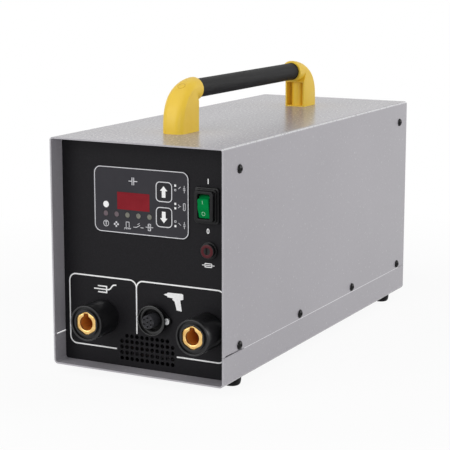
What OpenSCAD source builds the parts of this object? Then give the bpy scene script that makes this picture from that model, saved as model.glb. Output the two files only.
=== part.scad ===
// Stud welder power unit: sheet-steel case with a carrying handle, front controls,
// two welding sockets and a gun control socket, a capacitor bank with its charging
// gear inside, and a fan and a mains inlet at the rear.
// x runs to the right as seen from the front, y runs to the rear, z runs up.
// The origin lies on the floor under the middle of the unit.

/* [Case] */
// Outside width of the case
case_w = 180; // [176:1:200]
// Depth of the case from its front rim to its rear rim
case_d = 445; // [435:1:480]
// Height of the case without feet and handle
case_h = 215; // [212:1:240]
// Thickness of the sheet steel
sheet = 1.5; // [1:0.1:2]
// Outer bend radius of the hood's top edges
hood_bend = 3; // [2.5:0.1:6]
// Outer bend radius of the tray's bottom edges
tray_bend = 4; // [2.5:0.1:6]
// Height of the tray's side walls
seam_z = 27.5; // [24:0.5:32]
// Gap between the tray's side walls and the hood
seam_gap = 0.4; // [0.2:0.1:1]
// Length of the wider gap behind the front rim
slot_l = 33; // [20:1:50]
// Start of that wider gap behind the front rim
slot_start = 3; // [2:0.5:8]
// Height of that wider gap
slot_h = 1.4; // [0.8:0.1:2.5]
// Set-back of the front panel from the front rim
recess = 18; // [14:0.5:24]
// Set-back of the rear panel from the rear rim
rear_recess = 9.5; // [8:0.5:14]
// Length of the panels' bent flanges
flange_l = 24; // [20:1:30]
// Reach of the seam strips above the seam
strip_up = 17.5; // [12:0.5:22]
// Reach of the seam strips below the seam
strip_down = 12; // [8:0.5:16]

/* [Case screws] */
// Thread diameter of the case screws
screw_d = 4; // [3:0.5:5]
// Head diameter of the case screws
screw_head_d = 8; // [6:0.5:10]
// Head height of the case screws
screw_head_h = 2.4; // [1.8:0.1:3.2]
// Length of the case screws under their heads
screw_l = 10; // [9:0.5:12]
// Distance of the end screws from the nearest panel's face
screw_set = 13; // [9:0.5:18]
// Drop of the upper screws below the top of the case
top_screw_drop = 21.3; // [16:0.1:30]
// Rise of the lower screws above the seam
low_screw_up = 5.3; // [4:0.1:9]
// Outer diameter of the clip nuts
clip_nut_d = 8; // [7:0.5:10]
// Length of the clip nuts
clip_nut_l = 5; // [4:0.5:6]

/* [Fits] */
// Gap around pieces that sit in one another
fit_gap = 0.1; // [0.05:0.01:0.2]
// Radial gap of pieces that turn or slide in one another
run_gap = 0.05; // [0.02:0.01:0.1]
// Extra diameter of a plain hole over its screw
hole_gap = 0.4; // [0.2:0.1:0.6]

/* [Feet] */
// Diameter of a rubber foot at the tray
foot_d = 18; // [16:0.5:22]
// Height of a rubber foot
foot_h = 9; // [8:0.5:14]
// Distance of a foot's axis from the case's side
foot_side = 14; // [12:0.5:20]
// Distance of a front foot's axis from the case's front rim
foot_end = 43; // [38:1:55]
// Distance of a rear foot's axis from the case's rear rim
foot_rear = 33; // [28:1:45]
// Thread diameter of the foot screws
foot_screw_d = 5; // [4:0.5:6]
// Head diameter of the foot screws
foot_head_d = 9; // [8:0.5:10]
// Head height of the foot screws
foot_head_h = 3; // [2.5:0.1:3.5]
// Depth of the hole that hides the screw's head
foot_sink = 5; // [4.5:0.5:6]
// Height of the foot nuts
foot_nut_h = 4; // [3:0.5:5]

/* [Handle] */
// Middle of the handle behind the front rim, as a part of the depth
handle_mid_part = 0.4955; // [0.48:0.0001:0.52]
// Overall length of the handle over both ends, as a part of the depth
handle_part = 0.6921; // [0.6:0.0001:0.72]
// Width of the moulded handle ends
handle_w = 22.6; // [20:0.1:26]
// Outer radius of the curve of a handle end
handle_curve = 45; // [40:0.5:50]
// Height of the straight foot under that curve
handle_foot = 5; // [3:0.5:8]
// Length of a handle end along the case
handle_base = 35; // [32:0.5:38]
// Rounding of the handle ends' outer edges
handle_round = 4.5; // [2:0.1:6]
// Outer diameter of the handle tube
tube_d = 18; // [16:0.5:19]
// Bore of the handle tube
tube_bore = 14; // [10:0.5:15]
// Depth of the tube's seat in a handle end
tube_seat = 9; // [6:0.5:9.5]
// Depth of the pocket in a handle end's inner face
pocket_d = 10; // [6:0.5:11]
// Wall around that pocket
pocket_wall = 2.4; // [1.8:0.1:3.5]
// Thread diameter of the handle screws
grip_screw_d = 5; // [4:0.5:5.5]
// Reach of the handle screws into a handle end
grip_screw_l = 13; // [9:0.5:16]
// Diameter of the plug in a handle end's curve
plug_d = 7; // [5:0.5:8]
// Angle of that plug from upright
plug_angle = 32; // [25:1:45]

/* [Membrane panel] */
// Width of the membrane panel
membrane_w = 100; // [98:0.5:104]
// Height of the membrane panel
membrane_h = 61; // [59:0.5:66]
// Share of the upper row's spare width to the left of the membrane panel
membrane_share = 0.6522; // [0.5:0.0001:0.7]
// Drop of the membrane panel's middle below the top of the case
membrane_drop = 56.4; // [52:0.1:62]
// Thickness of the membrane panel
membrane_t = 1; // [0.8:0.1:1.6]
// Corner radius of the membrane panel
membrane_r = 6; // [3:0.5:8]
// Width of the display window
display_w = 34.3; // [28:0.1:36]
// Height of the display window
display_h = 16.3; // [12:0.1:17]
// Sideways place of the display from the membrane's middle
display_dx = -7.5; // [-9:0.1:-6]
// Width of a key
key_w = 17; // [14:0.1:18]
// Height of a key
key_h = 18.6; // [14:0.1:20]
// Corner radius of a key
key_r = 4.2; // [2:0.1:6]
// Sideways place of the keys from the membrane's middle
key_dx = 24.9; // [23:0.1:26]
// Distance between the keys' middles
key_pitch = 23.2; // [22:0.1:26]
// Travel of a key
key_travel = 0.5; // [0.3:0.1:0.6]
// Diameter of a status lens
lens_d = 5; // [3:0.1:6]
// Distance between the status lenses
lens_pitch = 11.6; // [9:0.1:11.8]
// Sideways place of the last status lens from the membrane's middle
lens_dx = 9.4; // [8:0.1:11]
// Drop of the status lenses below the membrane's middle
lens_drop = 13.2; // [12.4:0.1:16]
// Length of the pillars between front panel and control board
pillar_l = 8.5; // [8:0.5:12]
// Thickness of the circuit boards
board_t = 1.6; // [1.2:0.1:2]
// Rim of the control board around the membrane panel
board_rim = 3; // [2:0.5:3.5]

/* [Rocker switch] */
// Share of the upper row's spare width to the right of the switch
switch_share = 0.2165; // [0.1:0.0001:0.24]
// Drop of the switch's middle below the top of the case
switch_drop = 54.1; // [48:0.1:60]
// Width of the switch's bezel
bezel_w = 24.1; // [23.5:0.1:26]
// Height of the switch's bezel
bezel_h = 32.6; // [32:0.1:36]
// Thickness of the switch's bezel
bezel_t = 2.2; // [1.5:0.1:3]
// Lap of the bezel over the panel's cut-out
bezel_lap = 1.1; // [0.8:0.1:1.4]
// Depth of the switch housing behind the panel
housing_d = 26; // [22:0.5:30]
// Height of the splash boot over the bezel
boot_h = 4.2; // [3:0.1:5]
// Width of the rocker
rocker_w = 11; // [9:0.1:11.4]
// Height of the rocker
rocker_h = 18; // [15:0.1:18.4]
// Reach of the rocker's face in front of its pivot
rocker_reach = 10.6; // [9.6:0.1:12]
// Set-back of the pivot behind the panel's face
pivot_set = 2; // [1.5:0.1:3]
// Tilt of the rocker at rest
rocker_tilt = 10; // [6:0.5:10]
// Diameter of the rocker's pivot pins
pivot_d = 3; // [2:0.1:4]

/* [Fuse] */
// Sideways place of the fuse holder from the switch's middle
fuse_dx = 2; // [-1:0.5:3]
// Drop of the fuse holder's axis below the top of the case
fuse_drop = 94.7; // [90:0.1:98]
// Diameter of the fuse holder's flange
fuse_flange_d = 15.6; // [15:0.1:17]
// Thickness of the fuse holder's flange
fuse_flange_t = 2; // [1.5:0.1:2.5]
// Diameter of the fuse holder's barrel
fuse_barrel_d = 12.5; // [12:0.1:13]
// Length of the barrel behind the panel
fuse_barrel_l = 32; // [30:0.5:40]
// Bore of the barrel
fuse_bore = 10; // [9:0.1:10.5]
// Diameter of the fuse cap
fuse_cap_d = 13.4; // [12:0.1:14.5]
// Height of the fuse cap in front of the flange
fuse_cap_h = 3.5; // [2.5:0.1:5]
// Diameter of the fuse cartridge
cartridge_d = 5; // [4.5:0.1:6.4]
// Length of the fuse cartridge
cartridge_l = 20; // [18:0.5:22]

/* [Welding sockets] */
// Share of the lower row's spare width to the left of the earth socket
earth_share = 0.3536; // [0.28:0.0001:0.42]
// Share of the lower row's spare width to the right of the gun socket
gun_share = 0.0875; // [0.06:0.0001:0.14]
// Height of both sockets over the tray's underside
socket_z = 46.5; // [44:0.5:52]
// Outer diameter of a socket's shell
shell_d = 34.5; // [32.5:0.5:36]
// Reach of the shells in front of the panel
socket_reach = 30.5; // [20:0.5:34]
// Diameter of the shell's spigot through the panel
spigot_d = 25.8; // [25:0.1:27]
// Length of that spigot behind the panel's face
spigot_l = 16; // [14:0.5:20]
// Size over the rounded corners of the brass insert
insert_d = 21.8; // [21.2:0.1:22.2]
// Size over the flats of the brass insert
insert_flats = 20.4; // [19.6:0.1:20.8]
// Set-back of the insert's face in the shell
insert_set = 0.6; // [0:0.1:2]
// Bore for the welding cable's plug
plug_bore = 13.5; // [13:0.1:14]
// Depth of that bore
plug_depth = 34; // [26:0.5:36]
// Width of the keyway in the bore
keyway_w = 4.4; // [3:0.1:5]
// Reach of the keyway from the bore's axis
keyway_r = 8.9; // [8:0.1:9.2]
// Thread diameter of the insert's rear stud
stud_d = 12; // [10:0.5:13]
// Height of the stud nuts
stud_nut_h = 8; // [6:0.5:10]

/* [Control socket] */
// Share of the lower row's spare width between earth socket and control socket
control_share = 0.278; // [0.22:0.0001:0.33]
// Height of the control socket over the tray's underside
control_z = 50.3; // [50:0.1:54]
// Outer diameter of the control socket's ring
ring_d = 28.6; // [28:0.1:29.2]
// Bore of the ring
ring_bore = 22.6; // [22.4:0.1:23]
// Reach of the ring in front of the panel
ring_reach = 7.4; // [7.2:0.1:8.5]
// Length of the ring
ring_l = 2.6; // [2.2:0.1:2.8]
// Outer diameter of the neck behind the ring
neck_d = 22.6; // [22:0.1:22.8]
// Bore of the neck
neck_bore = 19.6; // [19:0.1:20]
// Thickness of the diamond flange
diamond_t = 2; // [1.5:0.1:3]
// Distance between the flange's screws
diamond_pitch = 28.8; // [28.7:0.1:29.6]
// Radius of the flange's ends
diamond_r = 3.9; // [3.6:0.1:4.4]
// Diameter of the contact insert
contact_block_d = 12.5; // [12:0.1:13]
// Reach of the contact insert in front of the panel
contact_block_reach = 12.6; // [8:0.1:13]
// Diameter of a contact
contact_d = 1.7; // [1.2:0.1:2]
// Radius of the ring of contacts
contact_ring_r = 4.1; // [3.6:0.1:4.4]

/* [Front vent] */
// Distance between the vent holes
vent_pitch = 5.42; // [5:0.01:6]
// Diameter of a vent hole
vent_d = 4; // [3:0.1:4.4]
// Columns of vent holes
vent_cols = 11; // [5:2:11]
// Rows of vent holes
vent_rows = 5; // [2:1:5]
// Sideways place of the vent's middle
vent_x = 1; // [-2:0.5:4]
// Height of the lowest row over the tray's underside
vent_z = 9.2; // [8:0.1:10]

/* [Capacitor bank] */
// Gap between the outer capacitors and the bracket's legs
can_side = 4; // [3:0.5:6]
// Height of a capacitor
can_h = 105; // [90:1:112]
// Gap between neighbouring capacitors
can_gap = 5; // [4:0.5:6]
// Distance from the rear panel to the bank's middle, as a part of the depth
bank_part = 0.327; // [0.31:0.001:0.34]
// Height of the bank's clamp plate
clamp_z = 66; // [50:1:72]
// Thickness of the clamp plate and its legs
clamp_t = 2; // [1.5:0.1:3]
// Diameter of a capacitor's terminal post
post_d = 10; // [8:0.5:11]
// Height of a terminal post
post_h = 5; // [4:0.5:7]
// Distance between a capacitor's two posts, as a part of its diameter
post_part = 0.44; // [0.42:0.01:0.48]
// Thread diameter of the terminal screws
post_screw_d = 5; // [4:0.5:6]
// Thickness of the copper bars and straps
copper_t = 3; // [2:0.1:4]
// Width of the copper straps
strap_w = 20; // [18:0.5:24]

/* [Charging gear] */
// Width of the heat sink, as a part of the clear width
sink_w_part = 0.3038; // [0.28:0.0001:0.32]
// Length of the heat sink, as a part of the depth
sink_l_part = 0.2472; // [0.22:0.0001:0.26]
// Distance from the front panel to the heat sink, as a part of the depth
sink_set_part = 0.1618; // [0.15:0.0001:0.18]
// Height of the heat sink, as a part of the case's height
sink_h_part = 0.279; // [0.25:0.001:0.29]
// Fins of the heat sink
sink_fins = 8; // [5:1:9]
// Thickness of a fin
fin_t = 2; // [1.5:0.1:2.5]
// Thickness of the heat sink's top plate
sink_base_t = 10; // [6:0.5:12]
// Gap between the heat sink and the case screws' ends
sink_edge = 5; // [3:0.5:8]
// Height of the thyristor module, as a part of the case's height
module_h_part = 0.1116; // [0.1:0.0001:0.12]
// Width of the transformer's core, as a part of the clear width
core_w_part = 0.5063; // [0.46:0.0001:0.53]
// Height of the transformer's core
core_h = 66; // [60:1:80]
// Thickness of the transformer's stack
core_t = 50; // [40:1:56]
// Width of the core's middle leg, as a part of its width
leg_part = 0.35; // [0.3:0.01:0.38]
// Width of the core's outer legs and yokes, as a part of its width
yoke_part = 0.15; // [0.12:0.01:0.17]
// Gap between the transformer and the case screws' ends
core_edge = 9; // [3:0.5:12]
// Distance from the front panel to the transformer's middle, as a part of the depth
core_set_part = 0.2629; // [0.25:0.0001:0.28]
// Build of the winding outside the stack
winding_t = 13; // [10:0.5:14]
// Height of the power board over the tray's underside
power_z = 134; // [132:1:140]
// Height of the parts on the power board
power_part_h = 12; // [8:0.5:14]

/* [Fan and inlet] */
// Width of the fan's square frame
fan_w = 80; // [76:1:82]
// Thickness of the fan
fan_t = 25; // [20:1:28]
// Distance between the fan's screws
fan_pitch = 71.5; // [68:0.5:73]
// Bore of the fan's frame
fan_bore = 76; // [70:0.5:77]
// Height of the fan's axis over the tray's underside
fan_z = 130; // [120:1:145]
// Diameter of the fan's hub
hub_d = 30; // [24:0.5:34]
// Blades of the fan
blades = 7; // [5:1:9]
// Slant of a blade
blade_slant = 38; // [30:1:45]
// Gap between the blades' tips and the frame
tip_gap = 1; // [0.6:0.1:2]
// Wire diameter of the finger guard
wire_d = 2; // [1.6:0.1:2.4]
// Distance of the mains inlet's middle from the right wall
inlet_edge = 43.5; // [38:0.5:54]
// Height of the mains inlet over the tray's underside
inlet_z = 45; // [42:1:55]
// Width of the inlet's cavity
cavity_w = 24.4; // [24:0.1:25]
// Height of the inlet's cavity
cavity_h = 16.8; // [16:0.1:17.2]
// Depth of the inlet's cavity
cavity_d = 16; // [14:0.5:17]
// Wall of the inlet's body
inlet_wall = 1.5; // [1.2:0.1:2]
// Distance between the inlet's screws
inlet_pitch = 40; // [38:0.5:42]

/* [Hidden] */
$fn = 64;
// Overshoot of a cutting shape
cut = 1;
// Standard gaps and small sizes
seat_gap = 0.3;
m3 = 3;
m3_head_d = 5.6;
m3_head_h = 2;
m4 = 4;
tact_w = 6;
tact_h = 3.5;
tact_gap = 0.7;
key_proud = 0.2;
key_stem_d = 5;
key_gap = 0.15;
nut_wall = 2;

// Case planes
half_w = case_w / 2;
wall_in = half_w - sheet;
strip_in = wall_in - sheet;
top_in = case_h - sheet;
panel_back = recess + sheet;
rear_face = case_d - rear_recess;
rear_in = rear_face - sheet;
front_y = min(0, recess - socket_reach);
mid_y = (case_d + front_y) / 2;
panel_round = max(tray_bend, hood_bend) - sheet + 0.5;
strip_z0 = seam_z - strip_down;
strip_z1 = seam_z + strip_up;
flange_z0 = strip_z1 + 4;
flange_z1 = case_h - 10;
flange_half = half_w - foot_side - 8;

// Front rows: places of the fittings from their shares of the spare width
spare_top = 2 * wall_in - membrane_w - bezel_w;
membrane_x = membrane_share * spare_top + membrane_w / 2 - wall_in;
membrane_z = case_h - membrane_drop;
switch_x = wall_in - switch_share * spare_top - bezel_w / 2;
switch_z = case_h - switch_drop;
fuse_x = switch_x + fuse_dx;
fuse_z = case_h - fuse_drop;
control_half = diamond_pitch / 2 + diamond_r;
spare_low = 2 * wall_in - 2 * shell_d - 2 * control_half;
earth_x = earth_share * spare_low + shell_d / 2 - wall_in;
control_x = earth_x + shell_d / 2 + control_share * spare_low + control_half;
gun_x = wall_in - gun_share * spare_low - shell_d / 2;

// Case screw places as [y, z] on each side
first_y = recess + screw_set;
last_y = rear_face - screw_set;
low_z = seam_z + low_screw_up;
top_z = case_h - top_screw_drop;
low_row = [for (i = [0:3]) [first_y + i * (last_y - first_y) / 3, low_z]];
side_spots = concat([[first_y, top_z], [last_y, top_z]], low_row);

// Foot places
foot_spots = [
    for (sx = [-1, 1])
        for (y = [foot_end, case_d - foot_rear]) [sx * (half_w - foot_side), y]
];

// Handle planes
handle_mid_y = handle_mid_part * case_d;
handle_span = handle_part * case_d;
grip_r = handle_w / 2;
grip_axis_z = handle_foot + handle_curve - grip_r;
grip_front_y = handle_mid_y - handle_span / 2;
grip_rear_y = handle_mid_y + handle_span / 2;
tube_y0 = grip_front_y + handle_curve - tube_seat;
tube_y1 = grip_rear_y - handle_curve + tube_seat;
grip_screw_ys = [9, 19];
grip_head_d = 9;
grip_head_h = 3;
plug_t = 3;
plug_proud = 0.3;

// Membrane panel places
display_x = membrane_x + display_dx;
display_z = membrane_z - 0.4;
key_x = membrane_x + key_dx;
key_mid_z = membrane_z - 0.5;
up_z = key_mid_z + key_pitch / 2;
down_z = key_mid_z - key_pitch / 2;
lens_z = membrane_z - lens_drop;
lens_xs = [for (i = [0:4]) membrane_x + lens_dx - i * lens_pitch];
board_y = panel_back + pillar_l;
board_w = membrane_w + 2 * board_rim;
board_h = membrane_h + 2 * board_rim;
pillar_d = 6;
pillar_half_w = (board_w - pillar_d - 1) / 2;
pillar_half_h = (board_h - pillar_d - 1) / 2;
pillar_spots = [
    for (sx = [-1, 1])
        for (sz = [-1, 1]) [membrane_x + sx * pillar_half_w, membrane_z + sz * pillar_half_h]
];

// Rocker switch places
housing_w = bezel_w - 2 * bezel_lap;
housing_h = bezel_h - 2 * bezel_lap;
pivot_y = recess + pivot_set;
rocker_side = 0.7;
well_w = rocker_w + 2 * rocker_side;
well_h = rocker_h + 6.2;
boot_well_h = rocker_h + 4.4;
pin_half = rocker_w / 2 + 2;
hub_r = pivot_d / 2 + 2.5;

// Fuse places
fuse_flange_y = recess - fuse_flange_t;
fuse_end_y = recess + fuse_barrel_l;
cap_front_y = fuse_flange_y - seat_gap - fuse_cap_h;
cap_spigot_l = 8;
cap_back_y = fuse_flange_y + cap_spigot_l;
cartridge_y = cap_back_y - 5;
fuse_nut_h = 3;

// Welding socket planes
socket_face = recess - socket_reach;
spigot_end = recess + spigot_l;
hex_end = spigot_end - 6;
insert_face = socket_face + insert_set;
lug_y0 = spigot_end;
lug_y1 = lug_y0 + copper_t;
stud_end = lug_y1 + stud_nut_h + 3;
ring_nut_h = 5;

// Control socket planes
ring_face = recess - ring_reach;
block_face = recess - contact_block_reach;
ring_back = ring_face + ring_l;
socket_floor = recess - 0.5;
control_back = recess + 16;
diamond_front = recess - diamond_t;
control_body_d = neck_d - 2.2;
contact_spots = concat(
    [[0, 0]],
    [for (i = [0:5]) [contact_ring_r * cos(60 * i + 30), contact_ring_r * sin(60 * i + 30)]]
);

// Capacitor bank places
clamp_half_w = strip_in - 1;
can_d = (2 * (clamp_half_w - clamp_t - can_side) - 2 * can_gap) / 3;
can_pitch = can_d + can_gap;
post_pitch = post_part * can_d;
bank_y = rear_face - bank_part * case_d;
row_ys = [bank_y - can_pitch / 2, bank_y + can_pitch / 2];
can_xs = [-can_pitch, 0, can_pitch];
can_top = sheet + can_h;
post_top = can_top + post_h;
bar_top = post_top + copper_t;
clamp_half_l = can_pitch / 2 + can_d / 2 + 6;
outer_post_y = can_pitch / 2 + post_pitch / 2;
inner_post_y = can_pitch / 2 - post_pitch / 2;
bar_half = post_d / 2 + 3;
link_x0 = can_pitch + bar_half;
link_w = 10;
post_head_d = post_d - 1;
head_clear = post_head_d / 2 + 1.5;
earth_tongue_y = bank_y - inner_post_y - bar_half - 0.5;
strap_rise = 6;
link_tongue_x = can_pitch - head_clear - 15;
rise_y = bank_y - outer_post_y - bar_half - 10;
power_pillar_d = 6;
power_pillar_x = clamp_half_w - clamp_t - power_pillar_d / 2 - 0.5;
power_half_l = clamp_half_l - 2;
power_pillar_y = power_half_l - 5;

// Charging gear planes
clear_half = half_w - screw_l - 1;
sink_w = sink_w_part * 2 * clear_half;
sink_l = sink_l_part * case_d;
sink_h = sink_h_part * case_h;
module_h = module_h_part * case_h;
sink_x = clear_half - sink_edge - sink_w / 2;
core_w = core_w_part * 2 * clear_half;
core_x = core_edge + core_w / 2 - clear_half;
leg_w = leg_part * core_w;
yoke_w = yoke_part * core_w;
sink_y0 = recess + sink_set_part * case_d;
sink_y1 = sink_y0 + sink_l;
sink_top = sheet + sink_h;
module_w = 0.7 * sink_w;
module_margin = 8;
module_top = sink_top + module_h;
module_y0 = sink_y0 + module_margin;
module_y1 = sink_y1 - module_margin;
gate_post_y0 = module_y0 + 17;
gate_post_y1 = module_y1 - 17;
tongue_bolts = [
    [(head_clear - can_pitch + earth_x + strap_w / 2) / 2, bank_y - inner_post_y + 2],
    [can_pitch - head_clear - 7.5, bank_y - outer_post_y]
];
core_y = recess + core_set_part * case_d;
core_z0 = sheet;
window_w = (core_w - leg_w - 2 * yoke_w) / 2;
window_h = core_h - 2 * yoke_w;

// Fan and inlet planes
fan_y0 = rear_in - fan_t;
rotor_y0 = fan_y0 + 5;
rotor_y1 = rear_in - 3;
fan_nut_h = 4;
fan_head_h = 2.6;
guard_rings = [12, 21, 30];
inlet_x = wall_in - inlet_edge;
inlet_flange_t = 3;
inlet_face = rear_face + inlet_flange_t;
inlet_floor = inlet_face - cavity_d;
inlet_back = inlet_floor - 4;
inlet_body_w = cavity_w + 2 * inlet_wall;
inlet_body_h = cavity_h + 2 * inlet_wall;
blade_pin = [2, 4];
pin_spots = [[0, 4], [-7, -3], [7, -3]];

// Moves the case's own planes to the model's origin
module placed() {
    translate([0, -mid_y, foot_h]) children();
}

// A flat shape in x and z, drawn out from y0 to y1
module along_y(y0, y1) {
    translate([0, y1, 0]) rotate([90, 0, 0]) linear_extrude(y1 - y0) children();
}

// A flat shape in y and z, drawn out from x0 to x1
module along_x(x0, x1) {
    translate([x0, 0, 0]) rotate([90, 0, 90]) linear_extrude(x1 - x0) children();
}

// A flat shape in x and y, drawn out from z0 to z1
module along_z(z0, z1) {
    translate([0, 0, z0]) linear_extrude(z1 - z0) children();
}

// Round bars along each axis
module rod_x(d, x0, x1) {
    translate([x0, 0, 0]) rotate([0, 90, 0]) cylinder(d = d, h = x1 - x0);
}

module rod_y(d, y0, y1) {
    translate([0, y0, 0]) rotate([-90, 0, 0]) cylinder(d = d, h = y1 - y0);
}

module rod_z(d, z0, z1) {
    translate([0, 0, z0]) cylinder(d = d, h = z1 - z0);
}

// A block between two corners
module block(low, high) {
    translate(low) cube(high - low);
}

// A rectangle with round corners, about its middle
module round_rect(w, h, r) {
    square([w - 2 * r, h], center = true);
    square([w, h - 2 * r], center = true);
    for (sx = [-1, 1])
        for (sz = [-1, 1])
            translate([sx * (w / 2 - r), sz * (h / 2 - r)]) circle(r);
}

module hexagon(af) {
    circle(d = af / cos(30), $fn = 6);
}

module both_sides() {
    children();
    mirror([1, 0, 0]) children();
}

// Case

module hood_outline(inset, z0) {
    w = case_w - 2 * inset;
    r = hood_bend - inset;
    top = case_h - inset;
    translate([-w / 2, z0]) square([w, top - r - z0]);
    translate([r - w / 2, z0]) square([w - 2 * r, top - z0]);
    for (sx = [-1, 1])
        translate([sx * (w / 2 - r), top - r]) circle(r);
}

module tray_outline(inset, z1) {
    w = case_w - 2 * inset;
    r = tray_bend - inset;
    translate([-w / 2, inset + r]) square([w, z1 - inset - r]);
    translate([r - w / 2, inset]) square([w - 2 * r, z1 - inset]);
    for (sx = [-1, 1])
        translate([sx * (w / 2 - r), inset + r]) circle(r);
}

// Plain holes for the case screws through both sides
module side_holes(spots) {
    for (p = spots)
        translate([0, p[0], p[1]]) rod_x(screw_d + hole_gap, -half_w - cut, half_w + cut);
}

module base_tray() {
    color("silver") placed() difference() {
        union() {
            along_y(0, case_d) difference() {
                tray_outline(0, seam_z);
                tray_outline(sheet, seam_z + cut);
            }
            both_sides() {
                block([strip_in, recess + 4, strip_z0], [wall_in, rear_in - 3, strip_z1]);
                block([strip_in, recess + 4, strip_z0], [wall_in + sheet / 2, rear_in - 3, seam_z - 1]);
            }
        }
        side_holes(low_row);
        for (p = foot_spots)
            translate([p[0], p[1], 0]) rod_z(foot_screw_d + hole_gap, -cut, sheet + cut);
    }
}

module hood() {
    color("silver") placed() difference() {
        along_y(0, case_d) difference() {
            hood_outline(0, seam_z + seam_gap);
            hood_outline(sheet, seam_z - cut);
        }
        side_holes(side_spots);
        for (p = grip_screw_places())
            translate([0, p, 0]) rod_z(grip_screw_d + hole_gap, top_in - cut, case_h + cut);
        both_sides()
            block([wall_in - cut, slot_start, seam_z], [half_w + cut, slot_start + slot_l, seam_z + slot_h]);
    }
}

module panel_outline() {
    translate([0, (sheet + top_in) / 2]) round_rect(2 * wall_in, top_in - sheet, panel_round);
}

// Bent flanges that stand along the walls behind a panel
module panel_flanges(y0, y1) {
    both_sides() block([strip_in, y0, flange_z0], [wall_in, y1, flange_z1]);
    block([-flange_half, y0, top_in - sheet], [flange_half, y1, top_in]);
    block([-flange_half, y0, sheet], [flange_half, y1, 2 * sheet]);
}

// Rows of vent holes, the top row without its end holes
module vent_holes() {
    for (row = [0:vent_rows - 1])
        for (col = [(row == vent_rows - 1 ? 1 : 0):vent_cols - (row == vent_rows - 1 ? 2 : 1)])
            translate([vent_x + (col - (vent_cols - 1) / 2) * vent_pitch, vent_z + row * vent_pitch])
                circle(d = vent_d);
}

// Windows for keys, display and status lenses, shared by membrane and panel
module membrane_windows() {
    translate([display_x, display_z]) square([display_w, display_h], center = true);
    for (z = [up_z, down_z])
        translate([key_x, z]) round_rect(key_w + 2 * key_gap, key_h + 2 * key_gap, key_r + key_gap);
    for (x = lens_xs)
        translate([x, lens_z]) circle(d = lens_d);
}

module front_panel() {
    color("#28282b") placed() difference() {
        union() {
            along_y(recess, panel_back) difference() {
                panel_outline();
                membrane_windows();
                vent_holes();
                translate([switch_x, switch_z])
                    square([housing_w + 2 * fit_gap, housing_h + 2 * fit_gap], center = true);
                translate([fuse_x, fuse_z]) circle(d = fuse_barrel_d + 2 * fit_gap);
                for (x = [earth_x, gun_x])
                    translate([x, socket_z]) circle(d = spigot_d + 2 * fit_gap);
                translate([control_x, control_z]) circle(d = control_body_d + 2 * fit_gap);
                for (sx = [-1, 1])
                    translate([control_x + sx * diamond_pitch / 2, control_z]) circle(d = m3 + hole_gap);
            }
            panel_flanges(recess, recess + flange_l);
        }
        side_holes([[first_y, top_z]]);
    }
}

module inlet_cutout() {
    square([inlet_body_w + 2 * fit_gap, inlet_body_h + 2 * fit_gap], center = true);
    for (s = [-1, 1])
        translate([s * inlet_pitch / 2, 0]) circle(d = m3 + hole_gap);
}

module rear_panel() {
    color("silver") placed() difference() {
        union() {
            along_y(rear_in, rear_face) difference() {
                panel_outline();
                translate([0, fan_z]) circle(d = fan_bore);
                for (p = fan_screw_spots())
                    translate(p) circle(d = m4 + hole_gap);
                translate([inlet_x, inlet_z]) inlet_cutout();
            }
            panel_flanges(rear_face - flange_l, rear_face);
        }
        side_holes([[last_y, top_z]]);
    }
}

module hood_screws() {
    color("#1c1c1e") placed() both_sides()
        for (p = side_spots)
            translate([0, p[0], p[1]]) difference() {
                union() {
                    rod_x(screw_d, half_w - screw_l, half_w);
                    translate([half_w, 0, 0]) rotate([0, 90, 0])
                        cylinder(d1 = screw_head_d, d2 = screw_head_d * 0.7, h = screw_head_h);
                }
                translate([half_w + screw_head_h / 2, 0, 0]) rotate([0, 90, 0])
                    linear_extrude(screw_head_h) hexagon(screw_d * 0.6);
            }
}

module clip_nuts() {
    color("gainsboro") placed() both_sides()
        for (p = side_spots)
            translate([0, p[0], p[1]]) difference() {
                rod_x(clip_nut_d, strip_in - clip_nut_l, strip_in);
                rod_x(screw_d + 2 * run_gap, strip_in - clip_nut_l - cut, strip_in + cut);
            }
}

module rubber_feet() {
    color("#1a1a1a") placed()
        for (p = foot_spots)
            translate([p[0], p[1], -foot_h]) difference() {
                cylinder(d1 = foot_d - 2, d2 = foot_d, h = foot_h);
                rod_z(foot_screw_d + hole_gap, -cut, foot_h + cut);
                rod_z(foot_head_d + hole_gap, -cut, foot_sink);
            }
}

// A screw and its nut in each foot
module foot_screws() {
    color("gainsboro") placed()
        for (p = foot_spots)
            translate([p[0], p[1], 0]) {
                rod_z(foot_head_d, foot_sink - foot_h - foot_head_h, foot_sink - foot_h);
                rod_z(foot_screw_d, foot_sink - foot_h, sheet + foot_nut_h + 1);
                along_z(sheet, sheet + foot_nut_h) difference() {
                    hexagon(foot_screw_d + 2 * nut_wall);
                    circle(d = foot_screw_d + 2 * run_gap);
                }
            }
}

// Handle

function grip_screw_places() = concat(
    [for (y = grip_screw_ys) grip_front_y + y],
    [for (y = grip_screw_ys) grip_rear_y - y]
);

module handle_tube() {
    color("#2a2a2a") placed() translate([0, 0, case_h + grip_axis_z]) difference() {
        rod_y(tube_d, tube_y0, tube_y1);
        rod_y(tube_bore, tube_y0 - cut, tube_y1 + cut);
    }
}

// Section of the curve: radius outwards, half the width to each side
module grip_section() {
    r = handle_round;
    translate([0, -grip_r]) square([handle_curve - r, handle_w]);
    translate([0, r - grip_r]) square([handle_curve, handle_w - 2 * r]);
    for (s = [-1, 1])
        translate([handle_curve - r, s * (grip_r - r)]) circle(r);
}

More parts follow.
